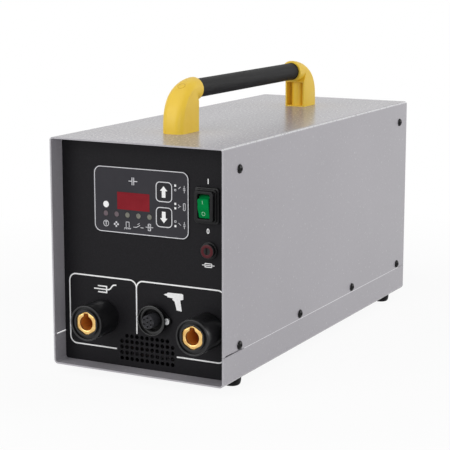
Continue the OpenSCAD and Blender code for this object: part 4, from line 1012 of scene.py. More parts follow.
@dataclass
class CaseSkin:
    """Sheet steel case with its screws and feet."""

    screw_rows: tuple[Point, ...] = ((31.0, 193.7), (422.5, 193.7), (31.0, 32.8),
                                     (161.5, 32.8), (292.0, 32.8), (422.5, 32.8))
    side_x: float = 90.0
    head_d: float = 8.5
    head_h: float = 2.4
    brim: float = 0.35
    shank_r: float = 2.0
    shank_l: float = 7.0
    key_flats: float = 2.5
    key_depth: float = 1.2
    foot_x: float = 76.0
    foot_rows: tuple[float, ...] = (43.0, 412.0)
    foot_r: float = 9.0
    sole_r: float = 5.6
    dome: float = 0.7
    hole_r: float = 2.3
    sink_r: float = 4.3
    sink_z: float = -4.0
    seam_z: float = 27.5
    seam_y: tuple[float, float] = (41.0, 428.0)
    strip_z: tuple[float, float] = (-0.35, 0.55)
    strip_depth: float = 1.2
    strip_proud: float = 0.02

    def build(self, maker: Maker) -> None:
        """Dress the sheets and make the screws and feet.

        Args:
            maker: Makes the pieces.
        """
        maker.dress(GREY_COAT, "base_tray", "hood", "rear_panel")
        maker.dress(BLACK_COAT, "front_panel")
        maker.dress(ZINC, "clip_nuts", "foot_screws")
        maker.piece("hood_button_screws", self.screws(), BLACK_STEEL, replaces=["hood_screws"])
        maker.piece("turned_feet", self.feet(), BLACK_RUBBER, replaces=["rubber_feet"])
        # Pale strips along the side seams: painted highlight on the sheet edges.
        maker.piece("seam_highlight_strips", self.seam_highlight_shape(), SEAM_HIGHLIGHT_COAT)

    def seam_highlight_shape(self) -> Shape:
        """A pale strip of painted highlight along the seam on each side, between the hood's end
        screws.

        Returns:
            Both strips as one shape.
        """
        shape = Shape()
        low, high = self.strip_z
        near, far = self.seam_y
        outline = [(near, low), (far, low), (far, high), (near, high)]
        for side in (-1, 1):
            shape.loft([[(side * (self.side_x + out), y, self.seam_z + z) for y, z in outline]
                        for out in (-self.strip_depth, self.strip_proud)])
        return shape.soften(0.12, segments=2)

    def screws(self) -> Shape:
        """Button heads with a hexagon key hole, on both sides of the hood.

        Returns:
            All the screws as one shape.
        """
        shape = Shape()
        angles = even_angles(36)
        big, crown = self.head_d / 2, self.head_h - self.brim
        turned = [(-self.shank_l, self.shank_r), (0.02, self.shank_r), (0.02, big - 0.1),
                  (self.brim, big)]
        turned += [(self.brim + crown * math.sin(t), big * math.cos(t)) for t in (0.45, 0.8, 1.05)]
        key = [hexagon_radius(self.key_flats, a) for a in angles]
        levels = [(out, [r] * len(angles)) for out, r in turned]
        levels += [(self.head_h - 0.02, key), (self.head_h - self.key_depth, key)]
        for side in (-1, 1):
            for y, z in self.screw_rows:
                shape.loft([[(side * (self.side_x + out), y + r * math.sin(a), z + r * math.cos(a))
                             for a, r in zip(angles, radii)] for out, radii in levels])
        return shape

    def feet(self) -> Shape:
        """Domed rubber feet with a sunk screw hole.

        Returns:
            The four feet as one shape.
        """
        shape = Shape()
        bevel = 0.3
        turns = [math.pi / 2 * k / 10 for k in range(11)]
        profile = [(self.hole_r, 0.0)]
        profile += [(self.sole_r + (self.foot_r - self.sole_r) * math.cos(t) ** self.dome,
                     -FOOT_H * math.sin(t) ** self.dome) for t in turns]
        profile += [(self.sink_r + bevel, -FOOT_H), (self.sink_r, bevel - FOOT_H),
                    (self.sink_r, self.sink_z), (self.hole_r, self.sink_z)]
        for x in (-self.foot_x, self.foot_x):
            for y in self.foot_rows:
                shape.lathe(profile, (x, y, 0), UP, 40, True)
        return shape


@dataclass
class Handle:
    """Carrying handle: two moulded brackets on a streaked tube."""

    turn_y: float = 111.5
    mid_y: float = 220.5
    top_z: float = 215.0
    foot: float = 5.0
    outer: float = 45.0
    inner: float = 10.0
    half_w: float = 11.3
    tube_r: float = 9.0
    tube_wall: float = 2.0
    tube_y: tuple[float, float] = (102.5, 338.5)
    flute: float = 0.12
    corner: float = 7.6
    edge: float = 0.8
    crease: float = 36.0
    wall: float = 1.9
    pocket: float = 10.0
    post_r: float = 6.8
    post_h: float = 25.6
    post_foot: float = 1.0
    post_back: float = 0.9
    plug_turn: float = 58.0
    plug_r: float = 3.3
    plug_seam: float = 0.45

    @property
    def axis_z(self) -> float:
        """Height of the tube's axis."""
        return self.top_z + self.foot + self.outer - self.half_w

    def build(self, maker: Maker) -> None:
        """Make both brackets, the tube and the plugs.

        Args:
            maker: Makes the pieces.
        """
        for end in End:
            maker.piece(f"handle_bracket_{end.value}", self.bracket(end), YELLOW,
                        replaces=[f"handle_end_{end.value}"], crease=19.0)
        maker.piece("handle_grip", self.grip(), GRIP, replaces=["handle_tube"],
                    crease=60.0)
        maker.piece("handle_caps", self.plugs(False), YELLOW, replaces=["handle_plugs"])
        # Painted shade in the seam round each plug.
        maker.piece("handle_cap_seam_shades", self.plugs(True), YELLOW_SEAM_SHADE)
        maker.dress(ZINC, "handle_screws")

    def section(self, turn: float, collar: bool = False) -> list:
        """One section of the bracket's sweep.

        Args:
            turn: Angle of the section from level in degrees, or millimetres below the bend if
                less than nought.
            collar: True for a section of the round collar.

        Returns:
            Points of the section, in case millimetres.
        """
        share = max(0.0, turn) / 90.0
        angle = math.radians(max(0.0, turn))
        low = self.outer - 2 * self.half_w
        near = low / math.sin(angle) if collar else self.inner / math.cos(angle)
        soft = self.corner + (self.half_w - self.corner) * share ** 1.4
        tight = self.half_w if collar else self.edge
        kink = math.radians(self.crease) * math.sin(math.pi * min(1.0, 0.03 + 0.97 * share))
        steps = [k / 8 for k in range(9)]
        outside = [(self.half_w - soft * (math.cos(kink) - math.cos(a)),
                    self.outer - soft * (1 - math.sin(a)))
                   for a in (kink + (math.pi / 2 - kink) * t for t in steps)]
        inside = [(tight * (1 - math.cos(a)) - self.half_w, near + tight * (1 - math.sin(a)))
                  for a in (math.pi / 2 * t for t in steps)]
        flat = outside + [(-x, r) for x, r in reversed(outside)]
        flat += inside + [(-x, r) for x, r in reversed(inside)]
        centre_z = self.top_z + self.foot + min(0.0, turn)
        return [(x, self.turn_y - r * math.cos(angle), centre_z + r * math.sin(angle))
                for x, r in flat]

    def bracket(self, end: End) -> Shape:
        """One bracket with its collar, its pocket and the post in the pocket.

        Args:
            end: Which end of the handle.

        Returns:
            The shape.
        """
        shape = Shape()
        bend = math.degrees(math.atan2(self.outer - 2 * self.half_w, self.inner))
        rings = [self.section(t)
                 for t in (-self.foot, -self.foot / 2, *range(0, 66, 6), 63.0, bend)]
        rings += [self.section(t, True) for t in (bend, *range(69, 90, 3))]
        around = [(x / self.half_w, (z - self.axis_z) / self.half_w)
                  for x, _, z in self.section(90.0, True)]
        bore = self.tube_r + 0.05
        seat = self.tube_y[0] - self.turn_y - 0.2
        for r, y in ((self.half_w, -0.9), (self.half_w - 0.3, -0.25), (self.half_w - 0.9, 0.0),
                     (bore + 0.25, 0.0), (bore, -0.3), (bore, seat)):
            rings.append([(u * r, self.turn_y + y, self.axis_z + v * r) for u, v in around])
        shape.loft(rings)
        face_y = self.turn_y - self.inner
        reach = self.half_w - self.edge + 0.1
        shape.bm.normal_update()
        inner = [f for f in shape.bm.faces
                 if all(abs(v.co.y - face_y) < 0.01 and abs(v.co.x) < reach for v in f.verts)]
        whole = bmesh.ops.dissolve_faces(shape.bm, faces=inner)["region"]
        bmesh.ops.inset_region(shape.bm, faces=whole, thickness=self.wall - self.edge, depth=0.0,
                               use_boundary=True, use_even_offset=True)
        shape.raise_faces(whole, FRONT * self.pocket, False)
        post = [(0.0, 0.0), (self.post_r, 0.0), (self.post_r, self.post_h), (0.0, self.post_h)]
        shape.lathe(post, (0, face_y - self.pocket + self.post_back, self.top_z + self.post_foot),
                    UP, 40)
        if end is End.REAR:
            shape.mirrored((0, self.mid_y, 0), (0, 1, 0))
        return shape

    def grip(self) -> Shape:
        """The tube, with fine flutes along it.

        Returns:
            The shape.
        """
        flutes = 72
        angles = even_angles(2 * flutes)
        fluted = [self.tube_r - self.flute, self.tube_r] * flutes
        bore = [self.tube_r - self.tube_wall] * (2 * flutes)
        near, far = self.tube_y
        rings = [[(r * math.sin(a), y, self.axis_z + r * math.cos(a))
                  for a, r in zip(angles, radii)]
                 for y, radii in ((near, fluted), (far, fluted), (far, bore), (near, bore))]
        return Shape().loft(rings, first=False, last=False).join_rims()

    def plugs(self, seam: bool) -> Shape:
        """The round plug on each bend, or the ring of painted shade in the seam round it.

        Args:
            seam: True for the rings of painted shade.

        Returns:
            Both as one shape.
        """
        angle = math.radians(self.plug_turn)
        out = Vector((0, -math.cos(angle), math.sin(angle)))
        spot = Vector((0, self.turn_y, self.top_z + self.foot)) + out * self.outer
        r, rim = self.plug_r, self.plug_r + self.plug_seam
        cap = [(0.0, 0.30), (r - 1.3, 0.27), (r - 0.4, 0.18), (r, 0.0), (r, -2.0), (0.0, -2.0)]
        ring = [(r, 0.03), (rim, 0.03), (rim, -1.0), (r, -1.0)]
        shape = Shape()
        for end in End:
            place, way = spot, out
            if end is End.REAR:
                place = Vector((0, 2 * self.mid_y - spot.y, spot.z))
                way = Vector((0, -out.y, out.z))
            shape.lathe(ring if seam else cap, place, way, 32, seam)
        return shape


@dataclass
class MembraneControls:
    """Film panel with its window, keys, lamps and printed symbols."""

    face_y: float = 17.0
    centre: Point = (-4.0, 158.6)
    size: Point = (100.0, 61.0)
    border_w: float = 0.75
    border_r: float = 6.4
    border_inset: float = 1.0
    key_x: float = 20.9
    key_z: tuple[float, float] = (169.7, 146.5)
    key_size: Point = (17.0, 18.6)
    key_y: float = 16.8
    frame_w: float = 0.85
    frame_r: float = 3.8
    lamp_x: tuple[float, ...] = (-41.0, -29.4, -17.8, -6.2, 5.4)
    lamp_z: float = 145.4
    sign_z: float = 136.0
    code_x: float = 32.5
    code_size: Point = (1.9, 1.9)
    thin: float = 0.55

    def build(self, maker: Maker) -> None:
        """Dress the film and print it.

        Args:
            maker: Makes the pieces.
        """
        maker.dress(FILM, "membrane_panel")
        maker.dress(KEY_FILM, "up_key", "down_key")
        maker.dress(RED_WINDOW, "display_window")
        maker.dress(LENS, "status_lenses")
        maker.piece("film_border", self.border(), PALE_INK)
        maker.piece("film_symbols", self.symbols(), PALE_INK)
        maker.piece("film_white_marks", self.white_marks(), WHITE_INK)
        maker.piece("lamp_bezels", self.bezels(), SOFT_BLACK)
        for name, z, way in (("up", self.key_z[0], 1), ("down", self.key_z[1], -1)):
            maker.piece(f"{name}_key_frame", self.key_frame(z), PALE_INK, body=f"{name}_button")
            maker.piece(f"{name}_key_arrow", self.arrow(z, way), WHITE_INK,
                        body=f"{name}_button")

    def border(self) -> Shape:
        """The line round the film.

        Returns:
            The shape.
        """
        ink = front_print(self.face_y)
        ink.frame((self.centre[0] + self.border_inset / 2, self.centre[1]),
                  (self.size[0] - self.border_inset, self.size[1]), self.border_w, self.border_r)
        return ink.shape

    def bezels(self) -> Shape:
        """A low ring round each lamp.

        Returns:
            All the rings as one shape.
        """
        shape = Shape()
        for x in self.lamp_x:
            shape.lathe([(2.5, -0.02), (2.55, 0.2), (2.85, 0.2), (2.95, -0.02)],
                        (x, self.face_y, self.lamp_z), FRONT, 28, True)
        return shape

    def key_frame(self, z: float) -> Shape:
        """The line round one key.

        Args:
            z: Height of the key's middle.

        Returns:
            The shape.
        """
        ink = front_print(self.key_y)
        ink.frame((self.key_x, z), self.key_size, self.frame_w, self.frame_r)
        return ink.shape

    def arrow(self, z: float, way: int) -> Shape:
        """The arrow on one key.

        Args:
            z: Height of the key's middle.
            way: 1 for up, -1 for down.

        Returns:
            The shape.
        """
        ink = front_print(self.key_y)
        x = self.key_x - 0.3
        half = [(1.9, -5.2), (1.9, 0.9), (3.8, 0.9), (0.0, 5.3)]
        outline = half + [(-a, b) for a, b in reversed(half[:3])]
        ink.patch([(x + a, z + way * b) for a, b in outline])
        return ink.shape

    def white_marks(self) -> Shape:
        """The large dot and the full squares of the lamp codes.

        Returns:
            The shape.
        """
        ink = front_print(self.face_y)
        ink.disc((-40.6, 153.8), 3.0)
        for z in (176.4, 159.8, 155.8, 139.5):
            ink.block((self.code_x, z), self.code_size)
        return ink.shape

    def symbols(self) -> Shape:
        """The fine line symbols.

        Returns:
            The shape.
        """
        ink = front_print(self.face_y)
        self.charge_sign(ink.at((-11.6, 177.0)))
        self.lamp_signs(ink)
        self.code_signs(ink)
        return ink.shape

    @staticmethod
    def charge_sign(ink: Print) -> None:
        """Two plates with a lead to each.

        Args:
            ink: A print about the middle of the sign.
        """
        for x in (-0.9, 0.9):
            ink.block((x, 0.0), (0.75, 7.0))
        for near, far in ((-4.6, -1.27), (1.27, 4.6)):
            ink.line([(near, 0.0), (far, 0.0)], 0.7)

    def lamp_signs(self, ink: Print) -> None:
        """One sign under each lamp.

        Args:
            ink: The print on the film.
        """
        ring = ink.at((-40.8, self.sign_z))
        ring.line(ring.circle((0.0, 0.0), 2.7), self.thin, True)
        ring.line([(0.0, -1.6), (0.0, 1.2)], 0.7)
        ring.line([(-1.1, 1.4), (1.1, 1.4)], 0.5)
        star = ink.at((-29.8, self.sign_z))
        for spot in ((1.75, 0.0), (-1.75, 0.0), (0.0, 1.75), (0.0, -1.75)):
            star.patch(star.circle(spot, 1.15, 1.0, 4))
        arch = ink.at((-17.7, self.sign_z))
        arch.line([(-1.6, -2.0), (-1.6, 2.9), (1.6, 2.9), (1.6, -2.0)], self.thin)
        arch.line([(-3.5, -2.7), (3.5, -2.7)], 0.6)
        for k in range(4):
            arch.line([(-2.9 + 1.9 * k, -3.1), (-3.5 + 1.9 * k, -4.0)], 0.4)
        contact = ink.at((-6.2, self.sign_z))
        contact.line([(-5.4, -1.2), (-2.0, -1.2), (1.6, 0.9)], self.thin)
        contact.line([(2.2, -1.2), (5.4, -1.2)], self.thin)
        contact.line([(-1.0, 1.4), (1.2, 2.7)], 0.45)
        box = ink.at((5.4, self.sign_z - 0.1))
        box.frame((0.0, 0.0), (3.2, 6.6), self.thin, 0.4)
        box.line([(-4.0, 0.0), (4.0, 0.0)], self.thin)
        box.line([(-0.9, 2.3), (0.9, -2.3)], 0.45)

    def code_signs(self, ink: Print) -> None:
        """Hollow squares, strokes and signs that go with the lamp codes.

        Args:
            ink: The print on the film.
        """
        for z in (172.3, 143.7):
            ink.frame((self.code_x, z), self.code_size, 0.4, 0.1)
        ink.line([(35.8, 173.6), (38.0, 175.6)], 0.5)
        ink.line([(35.8, 142.6), (38.0, 140.6)], 0.5)
        fork = ink.at((36.9, 157.8))
        fork.line([(-1.3, 1.6), (0.0, 0.0), (1.5, 0.0)], 0.5)
        fork.line([(-1.3, -1.6), (0.0, 0.0)], 0.5)
        for z in (173.5, 140.8):
            cell = ink.at((41.7, z))
            for near, far in ((-3.2, -0.6), (0.6, 3.2)):
                cell.line([(0.0, near), (0.0, far)], 0.45)
            for level in (-0.6, 0.6):
                cell.line([(-1.1, level), (1.1, level)], 0.5)
        ink.frame((41.7, 157.6), (2.4, 7.0), 0.5, 0.9)


@dataclass
class RockerSwitch:
    """Mains switch: housing, two-step rubber boot and a green rocker."""

    x: float = 65.0
    z: float = 160.9
    pivot_y: float = 20.0
    face: float = 10.6
    tilt: float = 10.0
    boot_y: float = 11.6
    lip: float = 2.0
    drum_r: float = 11.0
    drum_w: float = 11.0
    drum_arc: float = 160.0

    def build(self, maker: Maker) -> None:
        """Round the edges of the three forms and mark the rocker.

        Args:
            maker: Makes the pieces.
        """
        bezel = Shape().copy_node("switch_housing").soften(0.7, where=before_panel)
        maker.piece("switch_bezel", bezel, BLACK_PLASTIC, replaces=["switch_housing"])
        cover = Shape().copy_node("switch_boot")
        lip = [v for v in cover.bm.verts if v.co.y < self.boot_y + 0.1]
        bmesh.ops.translate(cover.bm, vec=FRONT * self.lip, verts=lip)
        maker.piece("switch_cover", cover.soften(0.8, where=before_panel), BOOT_RUBBER,
                    replaces=["switch_boot"])
        maker.piece("switch_key", Shape().copy_node("switch_rocker").soften(0.4), GREEN,
                    body="rocker", replaces=["switch_rocker"])
        maker.piece("switch_key_drum", self.drum(), GREEN, body="rocker")
        maker.piece("switch_key_marks", self.marks(), ROCKER_INK, body="rocker")
        maker.dress(BRASS, "switch_terminals")

    def drum(self) -> Shape:
        """The round body behind the face, which fills the well as the rocker tips.

        Returns:
            The shape.
        """
        angles = [math.radians(self.drum_arc * (k / 32 - 0.5)) for k in range(33)]
        outline = [(self.x - self.drum_w / 2, self.pivot_y - self.drum_r * math.cos(a),
                    self.z + self.drum_r * math.sin(a)) for a in angles]
        return Shape().slab(outline, RIGHT * self.drum_w)

    def marks(self) -> Shape:
        """The on and off marks on the tilted face.

        Returns:
            The shape.
        """
        lean = math.radians(self.tilt)
        up = Vector((0, -math.sin(lean), math.cos(lean)))
        out = Vector((0, -math.cos(lean), -math.sin(lean)))
        ink = Print(Vector((self.x, self.pivot_y, self.z)) + out * self.face, RIGHT, up, out)
        ink.block((-0.4, 6.0), (0.45, 3.0))
        ink.line(ink.circle((-0.3, -4.7), 1.5, 1.15), 0.34, True)
        return ink.shape


@dataclass
class FuseHolder:
    """Panel fuse holder with a slotted cap."""

    x: float = 67.0
    z: float = 120.3
    cap_y: float = 12.2
    ring_r: tuple[float, float] = (3.3, 6.1)

    def build(self, maker: Maker) -> None:
        """Round the flange and the cap.

        Args:
            maker: Makes the pieces.
        """
        flange = Shape().copy_node("fuse_holder").soften(0.4, where=before_panel)
        maker.piece("fuse_flange", flange, BLACK_PLASTIC, replaces=["fuse_holder"])
        cap = Shape().copy_node("fuse_cap").soften(0.35, where=before_panel)
        maker.piece("fuse_knob_cap", cap, BLACK_PLASTIC, body="fuse_knob", replaces=["fuse_cap"])
        maker.piece("fuse_cap_ring", self.ring(), DARK_RED, body="fuse_knob")
        maker.dress(CERAMIC, "fuse_cartridge")
        maker.dress(ZINC, "panel_nuts")

    def ring(self) -> Shape:
        """The coloured ring round the cap's slot.

        Returns:
            The shape.
        """
        inner, outer = self.ring_r
        profile = [(inner, -0.3), (inner, 0.1), (inner + 0.3, 0.3), (outer - 0.5, 0.3),
                   (outer, 0.0), (outer, -0.3)]
        return Shape().lathe(profile, (self.x, self.cap_y, self.z), FRONT, 48, True)


@dataclass
class WeldSocket:
    """Welding socket: moulded sleeve with a keyed brass insert."""

    label: str
    x: float
    z: float = 46.5
    sleeve_r: float = 16.7
    front_y: float = -12.0
    rim_r: float = 14.2
    corners_d: float = 21.8
    flats: float = 20.4
    bore_r: float = 6.75
    bore_end: float = 22.1
    key_w: float = 5.6
    key_tip: float = 3.8
    key_r: float = 9.2
    crown: float = 0.35

    def build(self, maker: Maker) -> None:
        """Round the sleeve's front and make the insert.

        Args:
            maker: Makes the pieces.
        """
        maker.piece(f"{self.label}_socket_sleeve", self.sleeve(), SOFT_BLACK,
                    replaces=[f"{self.label}_socket_shell"], crease=45.0)
        maker.piece(f"{self.label}_socket_brass", self.insert(), SOCKET_BRASS,
                    replaces=[f"{self.label}_socket_insert"], crease=32.0)

    def from_axis(self, point: Vector) -> Vector:
        """The way from the socket's axis to a point."""
        return Vector((point.x - self.x, 0.0, point.z - self.z))

    def sleeve(self) -> Shape:
        """The sleeve, drawn in to its radius, with a round rim and a soft mouth.

        Returns:
            The shape.
        """
        shell = Shape().copy_node(f"{self.label}_socket_shell")
        for vert in shell.bm.verts:
            out = self.from_axis(vert.co)
            if out.length > self.sleeve_r:
                vert.co -= out * (1.0 - self.sleeve_r / out.length)
        shell.soften(0.9, segments=4, where=lambda p: p.y < self.front_y
                     and self.from_axis(p).length > self.rim_r)
        return shell.soften(0.3, where=lambda p: p.y < self.front_y
                            and self.from_axis(p).length < self.rim_r)

    def insert(self) -> Shape:
        """Rounded hexagon with a keyed bore.

        Returns:
            The shape.
        """
        low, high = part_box(f"{self.label}_socket_insert")
        back = high.y / MM + MID_Y
        face = low.y / MM + MID_Y
        wall = math.asin(self.key_w / 2 / self.bore_r)
        tip = math.atan(self.key_tip / 2 / self.key_r)
        foot = self.bore_r * math.cos(wall)
        slope = (self.key_w - self.key_tip) / 2 / (self.key_r - foot)
        angles = sorted({round(a - math.pi, 6) for a in even_angles(120)}
                        | {round(side * a, 6) for side in (-1, 1) for a in (wall, tip)})

        def outside(angle: float) -> float:
            """Hexagon with a corner up, its corners turned off."""
            return min(hexagon_radius(self.flats, angle), self.corners_d / 2)

        def inside(angle: float) -> float:
            """Bore with a keyway at the top.

            Args:
                angle: Angle from upright, in radians.

            Returns:
                The radius there.
            """
            if abs(angle) >= wall:
                return self.bore_r
            lean = abs(math.sin(angle)) + slope * math.cos(angle)
            return min(self.key_r / math.cos(angle), (self.key_w / 2 + slope * foot) / lean)

        mid = (self.x, self.z)
        shape = Shape()
        plan = [(back, outside, 0.0), (face + 0.9, outside, 0.0), (face + 0.5, outside, -0.2),
                (face + self.crown * 0.6, outside, -0.7), (face, inside, 1.1),
                (face + 0.08, inside, 0.4), (face + 0.3, inside, 0.1), (face + 0.7, inside, 0.0),
                (self.bore_end, inside, 0.0)]
        shape.loft([polar_ring(mid, y, lambda a, f=f, e=extra: f(a) + e, angles)
                    for y, f, extra in plan])
        return shape


@dataclass
class ControlSocket:
    """Round control socket on a two-hole flange."""

    x: float = 9.4
    z: float = 50.3
    block_y: float = 5.4
    ring_back: float = 13.3
    ring_r: float = 14.3
    mouth_r: float = 12.9
    neck_r: float = 10.9
    head_y: float = 14.4
    pitch_r: float = 4.1
    collar_r: float = 1.75
    pin_r: float = 1.0

    def build(self, maker: Maker) -> None:
        """Make body and ring, set collars round the contacts and dress the rest.

        Args:
            maker: Makes the pieces.
        """
        maker.piece("control_socket_body", self.body(), DEEP_BLACK,
                    replaces=["control_socket_shell"], crease=45.0)
        maker.piece("control_socket_ring", self.ring(), RING_BLACK,
                    crease=45.0)
        maker.piece("control_socket_collars", self.collars(), INSERT)
        screws = Shape().copy_node("control_socket_screws")
        screws.soften(0.35, 50.0, where=lambda p: p.y < self.head_y)
        # The flange screws carry a painted highlight in their near-white colour.
        maker.piece("control_flange_screws", screws, ZINC_AND_HIGHLIGHT,
                    replaces=["control_socket_screws"])
        maker.dress(INSERT, "control_socket_insert")
        # The contacts are painted dark to stand for the shade in their holes.
        maker.dress(SHADED_BRASS, "control_socket_contacts")

    def body(self) -> Shape:
        """The flange and the neck.

        Returns:
            The shape.
        """
        shape = Shape().copy_node("control_socket_shell")
        whole = list(shape.bm.verts) + list(shape.bm.edges) + list(shape.bm.faces)
        bmesh.ops.bisect_plane(shape.bm, geom=whole, dist=0.0005, plane_co=(0, self.ring_back, 0),
                               plane_no=FRONT, clear_outer=True)
        return shape.join_rims().soften(0.45, where=before_panel)

    def ring(self) -> Shape:
        """The thin-lipped coupling ring in front of the neck.

        Returns:
            The shape.
        """
        profile = [(self.neck_r, -0.1), (self.ring_r - 0.3, -0.1), (self.ring_r, 0.2),
                   (self.ring_r, 2.3), (self.ring_r - 0.3, 2.65), (self.ring_r - 0.7, 2.7),
                   (self.mouth_r + 0.2, 2.6), (self.mouth_r, 2.3), (self.mouth_r, 0.3),
                   (self.neck_r, 0.3)]
        return Shape().lathe(profile, (self.x, self.ring_back, self.z), FRONT, 64, True)

    def collars(self) -> Shape:
        """A raised collar round each contact.

        Returns:
            The shape.
        """
        shape = Shape()
        spots = [(0.0, 0.0)] + [(self.pitch_r * math.sin(a), self.pitch_r * math.cos(a))
                                for a in even_angles(6)]
        profile = [(self.pin_r, -0.05), (self.pin_r, 0.55), (self.pin_r + 0.15, 0.7),
                   (self.collar_r - 0.15, 0.7), (self.collar_r, 0.55), (self.collar_r, -0.05)]
        for a, b in spots:
            shape.lathe(profile, (self.x + a, self.block_y, self.z + b), FRONT, 24, True)
        return shape


@dataclass
class PanelPrint:
    """White print on the black panel: socket boxes, pictograms and switch marks."""

    face_y: float = PANEL_Y
    width: float = 1.3
    corner: float = 7.0
    clamp_spot: Point = (-42.0, 72.7)
    gun_spot: Point = (30.0, 70.0)
    fuse_spot: Point = (65.4, 106.4)
    on_spot: Point = (65.4, 182.5)
    off_spot: Point = (65.2, 137.6)

    def build(self, maker: Maker) -> None:
        """Print the lines and the pictograms.

        Args:
            maker: Makes the pieces.
        """
        maker.piece("socket_boxes", self.boxes(), WHITE_INK)
        maker.piece("panel_pictograms", self.pictograms(), WHITE_INK)

    def boxes(self) -> Shape:
        """The two boxes that group the sockets, with one line between them.

        Returns:
            The shape.
        """
        ink = front_print(self.face_y)
        left = [(-31.6, 17.3), (-82.8, 17.3), (-82.8, 84.5), (-9.7, 84.5), (-9.7, 34.2)]
        right = [(32.5, 17.4), (82.0, 17.4), (82.0, 84.5), (-9.7, 84.5), (-9.7, 76.8)]
        ink.line(round_path(left, self.corner, False), self.width)
        ink.thick -= 0.02
        ink.line(round_path(right, self.corner, False)[:-1], self.width)
        return ink.shape

    def pictograms(self) -> Shape:
        """Earth clamp, stud gun, fuse and switch marks.

        Returns:
            The shape.
        """
        ink = front_print(self.face_y)
        self.clamp(ink.at(self.clamp_spot))
        self.gun(ink.at(self.gun_spot))
        fuse = ink.at(self.fuse_spot)
        fuse.frame((0.0, 0.0), (7.6, 4.0), 0.8, 0.5)
        fuse.line([(-6.2, 0.0), (6.2, 0.0)], 0.7)
        ink.block(self.on_spot, (1.0, 4.6))
        ink.line(ink.circle(self.off_spot, 1.0, 2.0), 0.85, True)
        return ink.shape

    def clamp(self, ink: Print) -> None:
        """A clamp's jaws and tongue with a cable.

        Args:
            ink: A print about the root of the jaws.
        """
        for z in (2.9, -2.9):
            ink.line([(-9.5, z), (0.7, z)], 1.2)
        ink.line([(-13.8, 0.0), (-0.8, 0.0)], 1.2)
        ink.line([(0.0, 2.3), (0.0, -2.3)], 1.4)
        ink.line([(0.7, 0.0), (2.6, 0.2), (4.2, 1.3), (5.6, 3.3), (7.4, 4.9), (10.6, 5.3)],
                 self.width)

    @staticmethod
    def gun(ink: Print) -> None:
        """The filled outline of a stud gun.

        Args:
            ink: A print about the top of the grip.
        """
        ink.patch([(-11.0, 4.8), (-7.0, 3.4), (-7.0, 2.6), (-1.4, 2.2), (-1.8, 0.8), (0.6, -0.8),
                   (2.6, -8.6), (8.0, -9.2), (6.4, 1.0), (9.6, 2.0), (9.6, 6.6), (8.0, 7.2),
                   (-6.6, 7.0), (-7.0, 6.2)])


